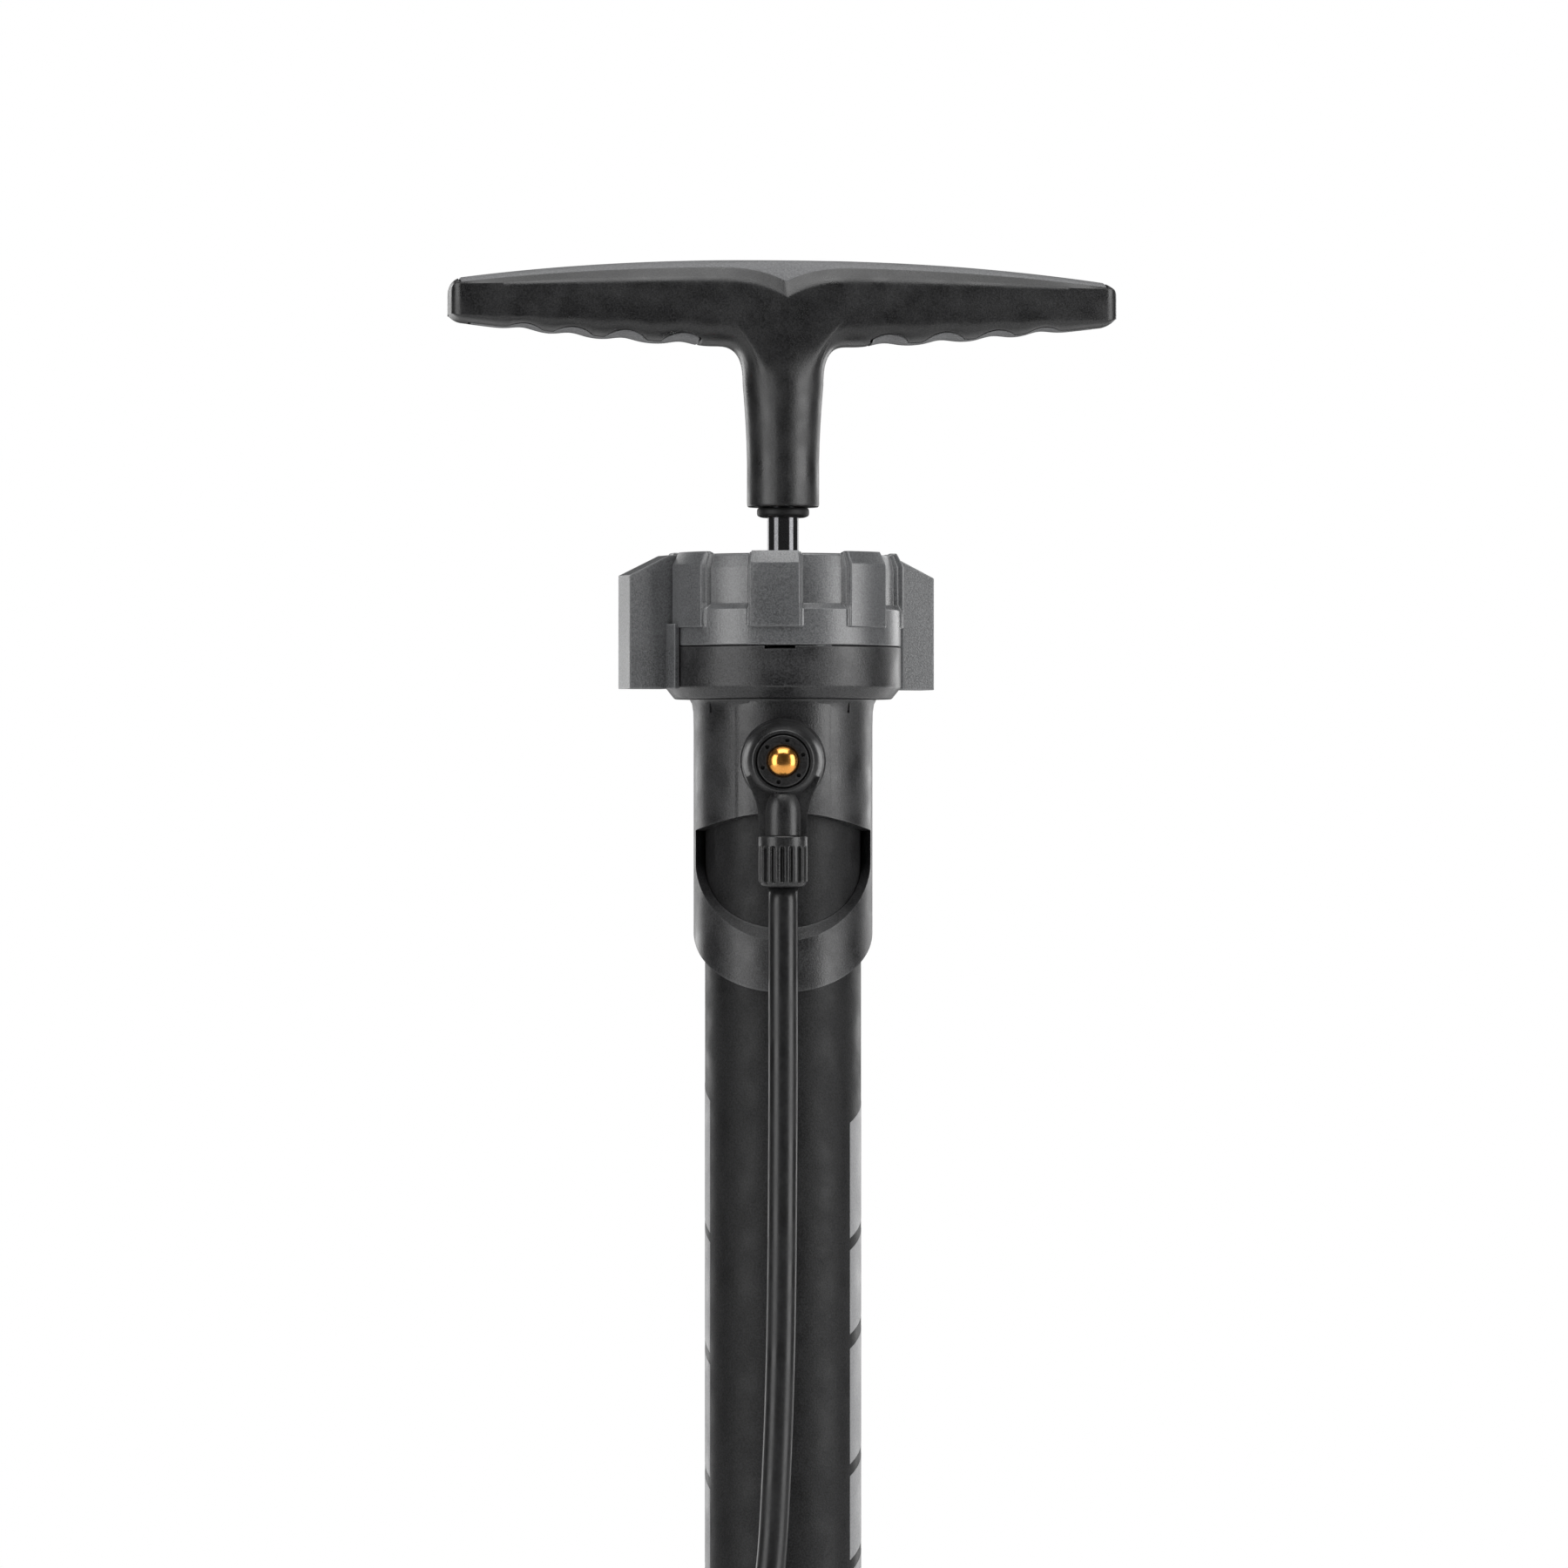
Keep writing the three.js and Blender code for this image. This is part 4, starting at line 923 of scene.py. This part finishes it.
def dial_marks():
    """The scale: clockwise from the pointer's rest, read from the front."""
    solids = []
    for i in range(DIAL_STEPS + 1):
        turn = POINTER_YAW - DIAL_SWEEP * i / DIAL_STEPS
        inner = 33.6 if i % 5 == 0 else 35.8
        half = 0.38 if i % 5 == 0 else 0.18
        solids.append(spun(box(-half, half, inner, 37.8, PRINT_LOW, PRINT_HIGH), turn))
    arc = []
    for i in range(109):
        turn = radians(90 + POINTER_YAW - DIAL_SWEEP * i / 108)
        inner, outer = polar(38.4, turn), polar(38.9, turn)
        arc.append([(*inner, PRINT_LOW), (*outer, PRINT_LOW), (*outer, PRINT_HIGH), (*inner, PRINT_HIGH)])
    solids.append(grid(arc))
    marks = raw("dial_scale", solids)
    for i in range(0, DIAL_STEPS + 1, 10):
        text = bpy.data.curves.new("number", "FONT")
        text.body = str(i // 5)
        text.size = 5.6 * MM
        text.extrude = 0.09 * MM
        text.align_x, text.align_y = "CENTER", "CENTER"
        text.resolution_u = 3
        holder = bpy.data.objects.new("number", text)
        bpy.context.collection.objects.link(holder)
        turn = radians(90 + POINTER_YAW - DIAL_SWEEP * i / DIAL_STEPS)
        holder.location = (28.6 * MM * cos(turn), 28.6 * MM * sin(turn), DIAL_TOP * MM)
        holder.rotation_euler = (0, 0, pi)
        bpy.context.view_layer.update()
        graph = bpy.context.evaluated_depsgraph_get()
        mesh = bpy.data.meshes.new_from_object(holder.evaluated_get(graph), depsgraph=graph)
        mesh.transform(holder.matrix_world)
        work = bmesh.new()
        work.from_mesh(marks.data)
        work.from_mesh(mesh)
        work.to_mesh(marks.data)
        work.free()
        bpy.data.objects.remove(holder)
    finished(marks, DIAL_BLACK, bevel=0)


# --- hose swivel


def hose_swivel():
    ring_section = [(5.4, 40.6), (17.85, 40.6), (17.85, 43.6), (16.9, 44.6), (16.2, 49.5), (14.6, 54.2),
                    (12.6, 57), (11.3, 57), (11.3, 54.6), (5.4, 54.6)]
    bends = [0, 0.5, 0.8, 0.8, 2.5, 2.5, 0.9, 0.3, 0, 0]
    donut = facing_rear(collar_of(ring_section, bends, 96, 5))
    dome = [(7.9, 509), (7.7, 511.5), (7.1, 514), (6, 516.4), (4.4, 518.4), (2.3, 519.7), (0, 520.1)]
    throat = moved(turned([(0, 500.0), (7.9, 500.0)] + dome, 64), y=HOSE_Y - 0.6)
    web_outline = [(-10.1, 500), (10.1, 500), (10.1, 508), (10.9, 513), (13.4, 519.5), (15.2, 524),
                   (-15.2, 524), (-13.4, 519.5), (-10.9, 513), (-10.1, 508)]
    bends = [0.5, 0.5, 4, 4, 4, 0, 0, 4, 4, 4]
    web = upright(rounded(web_outline, bends, 4, closed=True), -53.6, -44.6)
    obj = raw("swivel_body", [donut])
    carve(obj, [web, throat], "UNION")
    carve(obj, [facing_rear(plug(11.3, 54.6, 70, 64)),
                facing_rear(plug(5.5, 30, 60, 48)),
                moved(plug(2.4, 490, 520), y=HOSE_Y)])
    tidy(obj, 0.06)
    finished(obj, BLACK, ["swivel_banjo"], "hose_swivel", bevel=0.4, angle=38)
    cap_section = [(5.5, 55.3), (10.6, 55.3), (10.6, 57.9), (6.7, 57.9), (6.5, 57.3), (5.5, 57.3)]
    cap = raw("swivel_face", [facing_rear(collar_of(cap_section, [0, 0, 0.6, 0.3, 0, 0], 96, 3))])
    pins = []
    for i in range(6):
        turn = radians(18 + 60 * i)
        pin = moved(plug(0.95, 56.2, 62, 20), *polar(8.7, turn))
        pins.append(facing_rear(pin))
    carve(cap, pins)
    finished(cap, BLACK, ["swivel_cap"], bevel=0.1)
    dome = [(0, 24), (4, 24), (4, 40), (5.1, 40.6), (5.1, 57.4), (6.2, 57.5), (6.2, 58.2)]
    dome += [(6.2 * cos(a), 58.2 + 4.2 * sin(a)) for a in (radians(d) for d in range(12, 84, 12))]
    dome += [(0, 62.4)]
    piece("swivel_stud_brass", [facing_rear(turned(dome, 64))], BRASS, ["swivel_stud"], bevel=0.1)


def hose_nut():
    ribs, per_rib = 16, 12
    rows = []
    levels = [(478.8, 8.5, 0), (479.1, 8.9, 0), (479.9, 9.3, 0), (480.3, 9.45, 0.15), (480.9, 9.5, 1),
              (487, 9.5, 1), (494.2, 9.5, 1), (494.9, 9.55, 0.9), (495.3, 9.9, 0.3), (495.6, 10.15, 0),
              (499.2, 10.15, 0), (499.7, 9.7, 0)]
    for z, radius, share in levels:
        row = []
        for i in range(ribs * per_rib):
            lift = (0, 0.35, 0.85, 1, 1, 1, 1, 1, 0.85, 0.35, 0, 0)[i % per_rib]
            angle = 2 * pi * i / (ribs * per_rib)
            r = radius + share * (0.66 * lift - 0.75 * (1 - lift))
            row.append((*polar(r, angle), z))
        rows.append(row)
    inner = [[(*polar(2.8, a), z) for a in
              (2 * pi * i / (ribs * per_rib) for i in range(ribs * per_rib))] for z in (499.7, 478.8)]
    solid = grid(rows + inner + [rows[0]], ends=False)
    piece("hose_collar", [moved(solid, y=HOSE_Y)], BLACK, ["hose_nut"], "hose_swivel",
          bevel=0.15, angle=40)


# --- pump head and dock


def pump_head():
    body_section = [(0, -20), (11.5, -20), (13, -18.5), (13, -9), (12.4, -8.4), (12.4, -6.6), (13, -6),
                    (13, 16.5), (10.4, 16.5), (10.4, 18), (0, 18)]
    bends = [0, 1.2, 1.2, 0.4, 0.4, 0.4, 0.4, 1.2, 0, 0.3, 0]
    trunk = along_side(turned(rounded(body_section, bends, 3), 80))
    head = raw("valve_head", [trunk])
    neck = moved(turned(rounded(oblong(0, 8, 488.3, 513), 0.4, 2), 56), y=HEAD_Y)
    skirt = moved(turned([(0, 501), (8.2, 501), (8.9, 503.5), (10.6, 506.5), (12, 509), (0, 509)], 56),
                  y=HEAD_Y)
    carve(head, [neck, skirt], "UNION")
    for side in (-1, 1):
        ear = [(-31, -5), (-31, 3), (-28, 6), (-18, 6), (-18, -6), (-28, -6)]
        outline = [(x, HEAD_Z + z) for x, z in rounded(ear, [2.5, 2.5, 1.5, 0, 0, 1.5], 4, closed=True)]
        middle = HEAD_Y + side * 8.2
        carve(head, [upright(outline, middle - 1.6, middle + 1.6)], "UNION")
    holes = [along_side(plug(5, -4, 40, 40)),
             moved(plug(2.2, 480, 517), y=HEAD_Y),
             moved(plug(3.3, 522, 537, 32), 8, HEAD_Y),
             facing_rear(plug(2, -70, -40), HEAD_Z, LEVER_X)]
    carve(head, holes)
    finished(head, CASE_BLACK, ["pump_head_body"], bevel=0.35)
    section = [(4.6, 18.3), (12.2, 18.3), (12.6, 19.5), (12.6, 25.5), (11.4, 27), (5.4, 27), (4.6, 26.2)]
    ribs, rows = 24, []
    for r, z in rounded(section, [0, 0.4, 0.4, 0.6, 0.6, 0.4, 0.4], 2, closed=True):
        row = []
        for i in range(ribs * 6):
            dent = 0.55 if i % 6 in (0, 5) and r > 12 and 19.2 < z < 26 else 0
            angle = 2 * pi * i / (ribs * 6)
            row.append((*polar(r - dent, angle), z))
        rows.append(row)
    cap = along_side(grid(rows + [rows[0]], ends=False))
    collar = piece("head_cap", [cap], GREY, ["pump_head_cap"], bevel=0.15)
    gasket = collar_of(oblong(3.9, 4.7, 4, 17.8), 0.2, 40, 2)
    seal = piece("head_gasket", [along_side(gasket)], RUBBER, ["valve_gasket"], bevel=0)
    ferrule_section = [(2.4, 470.3), (7.0, 470.3), (7.8, 471.2), (7.8, 474), (7.3, 474.6), (7.3, 476),
                       (7.8, 476.6), (7.8, 481), (7.3, 481.6), (7.3, 483), (7.8, 483.6), (7.8, 487),
                       (7.2, 488), (2.4, 488)]
    crimp = moved(collar_of(ferrule_section, 0.3, 64, 2), y=HEAD_Y)
    ferrule = piece("hose_crimp", [crimp], ALLOY, ["hose_ferrule"], bevel=0)
    lever = lock_lever()
    pin_section = rounded(oblong(0, 1.7, -HEAD_Y - 9.6, -HEAD_Y + 9.6), 0.3)
    pin = piece("head_pin", [facing_rear(turned(pin_section, 32), HEAD_Z, LEVER_X)], SCREW_STEEL,
                ["lever_pin"], bevel=0)
    push = rounded([(0, 524.6), (2.8, 524.6), (2.8, 532), (2.2, 532.8), (0, 532.8)], [0, 0.2, 0.6, 0.6, 0])
    button = piece("bleed_button", [moved(turned(push, 40), 8, HEAD_Y)], GREY, ["release_button"],
                   "head_button", bevel=0)
    return [head, collar, seal, ferrule, lever, pin, button]


def lock_lever():
    cam = moved(facing_rear(turned(rounded(oblong(0, 4.9, -6.2, 6.2), 0.5), 48),
                            HEAD_Z, LEVER_X), y=HEAD_Y)
    outline = [(-29.6, 518), (-21.4, 518), (-22.4, 505), (-22.8, 478), (-24.2, 466), (-27, 462.5),
               (-29.4, 464.5), (-28.6, 478), (-30, 505)]
    blade = upright(rounded(outline, [1, 1, 6, 8, 3, 2, 2, 8, 6], 4, closed=True), HEAD_Y - 6.2,
                    HEAD_Y + 6.2)
    lever = raw("clamp_lever", [cam])
    carve(lever, [blade], "UNION")
    dimples = [box(-31, -28.9, HEAD_Y - 4.4, HEAD_Y + 4.4, z, z + 0.9) for z in (470, 472.6, 475.2, 477.8)]
    carve(lever, dimples + [moved(facing_rear(plug(2.1, -9, 9), HEAD_Z, LEVER_X), y=HEAD_Y)])
    return finished(lever, GREY, ["lock_lever"], "head_lever", bevel=0.5)


def head_dock():
    dock = raw("head_clip", [collar_of(oblong(8.3, 11.4, 490, 500), 0.5, 64)])
    carve(dock, [prism([(-5.6, 4), (5.6, 4), (9, 20), (-9, 20)], 480, 510)])
    dock.data.transform(Matrix.Translation((0, HEAD_Y * MM, 0)))
    carve(dock, [box(-6.5, 6.5, 36, HEAD_Y - 9.2, 490, 500), box(-1.6, 1.6, 37, 43.5, 490, 500)], "UNION")
    carve(dock, [plug(37.7, 480, 510, 128)])
    finished(dock, CASE_BLACK, ["head_dock"], bevel=0.4)


# --- base


def base_outline():
    """The steel base: two wings joined by a waist."""
    quarter = []

    def curve(start, bend, end, steps=10):
        for k in range(1, steps + 1):
            t = k / steps
            quarter.append(tuple(start[n] * (1 - t) ** 2 + bend[n] * 2 * t * (1 - t) + end[n] * t ** 2
                                 for n in (0, 1)))

    quarter.append((0, 52))
    curve((0, 52), (46, 52), (74, 88))
    curve((74, 88), (92, 118), (106, 118))
    curve((106, 118), (130, 118), (130, 94))
    right = quarter + [(x, -y) for x, y in reversed(quarter)]
    return right + [(-x, y) for x, y in reversed(right[1:-1])]


FEET = [(110, 97), (-110, 97), (-110, -97), (110, -97)]
SCREWS = [polar(42, radians(d)) for d in (90, 210, 330)]


def steel_base():
    plate = raw("base_plate", [prism(base_outline(), 8, 13)])
    holes = [moved(plug(4.7, 0, 20, 32), x, y) for x, y in FEET]
    holes += [moved(plug(2.8, 0, 20), x, y) for x, y in SCREWS]
    carve(plate, holes)
    # Pressed stiffening beads from the waist out to the wings.
    for side in (-1, 1):
        for tilt in (-24, 24):
            bead = []
            for k in range(13):
                t = k / 12
                reach = 51 + 22 * t
                lift = 1.7 * sin(pi * min(1, t * 6) / 2) * sin(pi * min(1, (1 - t) * 6) / 2)
                across = [(reach, w, 12.6 + lift * cos(pi * w / 9)) for w in (-4.4, -2.5, 0, 2.5, 4.4)]
                bead.append(across + [(reach, 4.4, 12.2), (reach, -4.4, 12.2)])
            solid = placed(grid(bead), Matrix.Rotation(radians(tilt + (180 if side < 0 else 0)), 4, "Z"))
            carve(plate, [solid], "UNION")
    finished(plate, STEEL_PAINT, ["foot_base"], bevel=1.1, angle=50)


def base_rubber():
    for i, (x, y) in enumerate(FEET):
        profile = [(0, 0), (11, 0), (12, 1.2), (12, 7.7), (4, 7.7), (4, 13.3), (5.6, 13.3), (4.4, 15.6),
                   (0, 15.6)]
        bends = [0, 0.8, 0.8, 0.8, 0, 0, 0.6, 1.2, 0]
        rings = [(0, 0), (4, 0), (4.4, 0.7), (6.2, 0.7), (6.6, 0), (8.2, 0), (8.6, 0.7), (9.8, 0.7),
                 (10.2, 0)]
        shape = rings + rounded(profile, bends)[2:]
        piece(f"foot_{i + 1}", [moved(turned(shape, 48), x, y)], RUBBER,
              [f"rubber_foot_{i + 1}"], bevel=0)
    for side, node in ((-1, "tread_pad_left"), (1, "tread_pad_right")):
        middle = side * 96
        plate = prism(rounded(oblong(middle - 22, middle + 22, -75.4, 75.4), 7, 6, closed=True), 13.3, 14.9)
        solids = [plate]
        for k in range(13):
            start = -75.4 + 11.6 * k
            half = 20.6 if 0 < k < 12 else 17.6
            rib = [(start + 1.8, 14.6), (start + 2.8, 16.4), (start + 3.6, 16.9), (start + 8, 16.9),
                   (start + 8.8, 16.4), (start + 9.8, 14.6)]
            points, faces = prism(rib, -half, half)
            solids.append(([(middle + along, y, z) for y, z, along in points], faces))
        piece(f"tread_{'left' if side < 0 else 'right'}", solids, RUBBER, [node], bevel=0.5, angle=40)


def barrel_socket():
    profile = [(0, 13.3), (51, 13.3), (51, 17.6), (47.2, 23.4), (42, 36), (39.5, 50), (38.6, 59.5),
               (37.2, 62), (FOOT_BORE_R, 62), (FOOT_BORE_R, 20), (0, 20)]
    shape = rounded(profile, [0, 0.4, 1.6, 4, 8, 8, 1.4, 1.2, 0.5, 0, 0], 4)
    socket = raw("barrel_foot", [turned(shape, 112)])
    for k in range(9):
        fin = [(37.5, 22), (48.6, 18.5), (48.6, 20.5), (44.6, 30), (40.8, 46), (38.6, 52), (37.5, 52)]
        solid = spun(upright(fin, -1.5, 1.5), 10 + 40 * k)
        carve(socket, [solid], "UNION")
    holes = [moved(plug(2.5, 10, 32), x, y) for x, y in SCREWS]
    carve(socket, holes)
    finished(socket, BLACK, ["barrel_socket"], bevel=0.5)
    for i, (x, y) in enumerate(SCREWS):
        head = [(0, 6.3), (1.7, 6.3), (1.9, 4.9), (4, 4.9), (4.8, 5.7), (4.8, 7.7), (2.2, 7.7), (2.2, 29),
                (1.4, 30), (0, 30)]
        piece(f"socket_screw_{i + 1}", [moved(turned(head, 24), x, y)], SCREW_STEEL,
              [f"base_screw_{i + 1}"], bevel=0.2)


def hose_hook():
    band = collar_of(oblong(FOOT_BORE_R, 37, 62.4, 80), [0.2, 0.9, 0.9, 0.4], 112)
    hook = raw("hose_hanger", [band])
    cradle = [(-34.6, 62.4), (-77.6, 62.4), (-77.6, 77), (-75.2, 79), (-74.2, 77), (-74.2, 69.4),
              (-71.7, 66.9), (-60.3, 66.9), (-57.8, 69.4), (-57.8, 78), (-34.6, 78)]
    shape = rounded(cradle, [0, 3, 1, 1, 1, 2, 2, 2, 2, 1.5, 0], 4, closed=True)
    carve(hook, [upright(shape, -6, 6)], "UNION")
    carve(hook, [plug(FOOT_BORE_R, 50, 90, 112)])
    carve(hook, [upright(oblong(-55, -40.5, 65.4, 75), *sides) for sides in ((-8, -4.6), (4.6, 8))])
    finished(hook, BLACK, ["hose_hook"], bevel=0.5)


# --- what stays as the CAD has it


def dress_inner_nodes():
    """Sealed inner pieces keep their CAD shape and get a surface of their own."""
    by_slot = {"steel": SCREW_STEEL, "black_plastic": BLACK, "grey_plastic": GREY, "rubber": RUBBER,
               "aluminium": ALLOY, "brass": BRASS, "soft_grip": GRIP}
    slots = {row["node"]: row["material_slot"] for row in frame["record"]["subparts"]}
    for name, node in frame["nodes"].items():
        if node.hide_render:
            continue
        node.data.materials.clear()
        node.data.materials.append(by_slot[slots[name]])


# --- floor


def make_floor():
    floor = raw("floor", [turned(rounded(oblong(0, 1500, -4, 0), [0, 1, 1, 0]), 128)])
    floor.data.transform(Matrix.Translation((0, 0, -0.0001)))
    surface = material("pale_floor", (0.86, 0.86, 0.86), 0.6, mottle=0.01, patch=200)
    floor.data.materials.append(surface)


# --- assembly

make_camera()
hose, hose_line = make_hose()
on_hose = pump_head()
make_lights()
handle_core()
handle_pads()
rod_and_washer()
mode_ring()
gauge_housing()
upper_casing()
barrel()
barrel_stripes()
gauge()
hose_swivel()
hose_nut()
head_dock()
steel_base()
base_rubber()
barrel_socket()
hose_hook()
dress_inner_nodes()
make_floor()
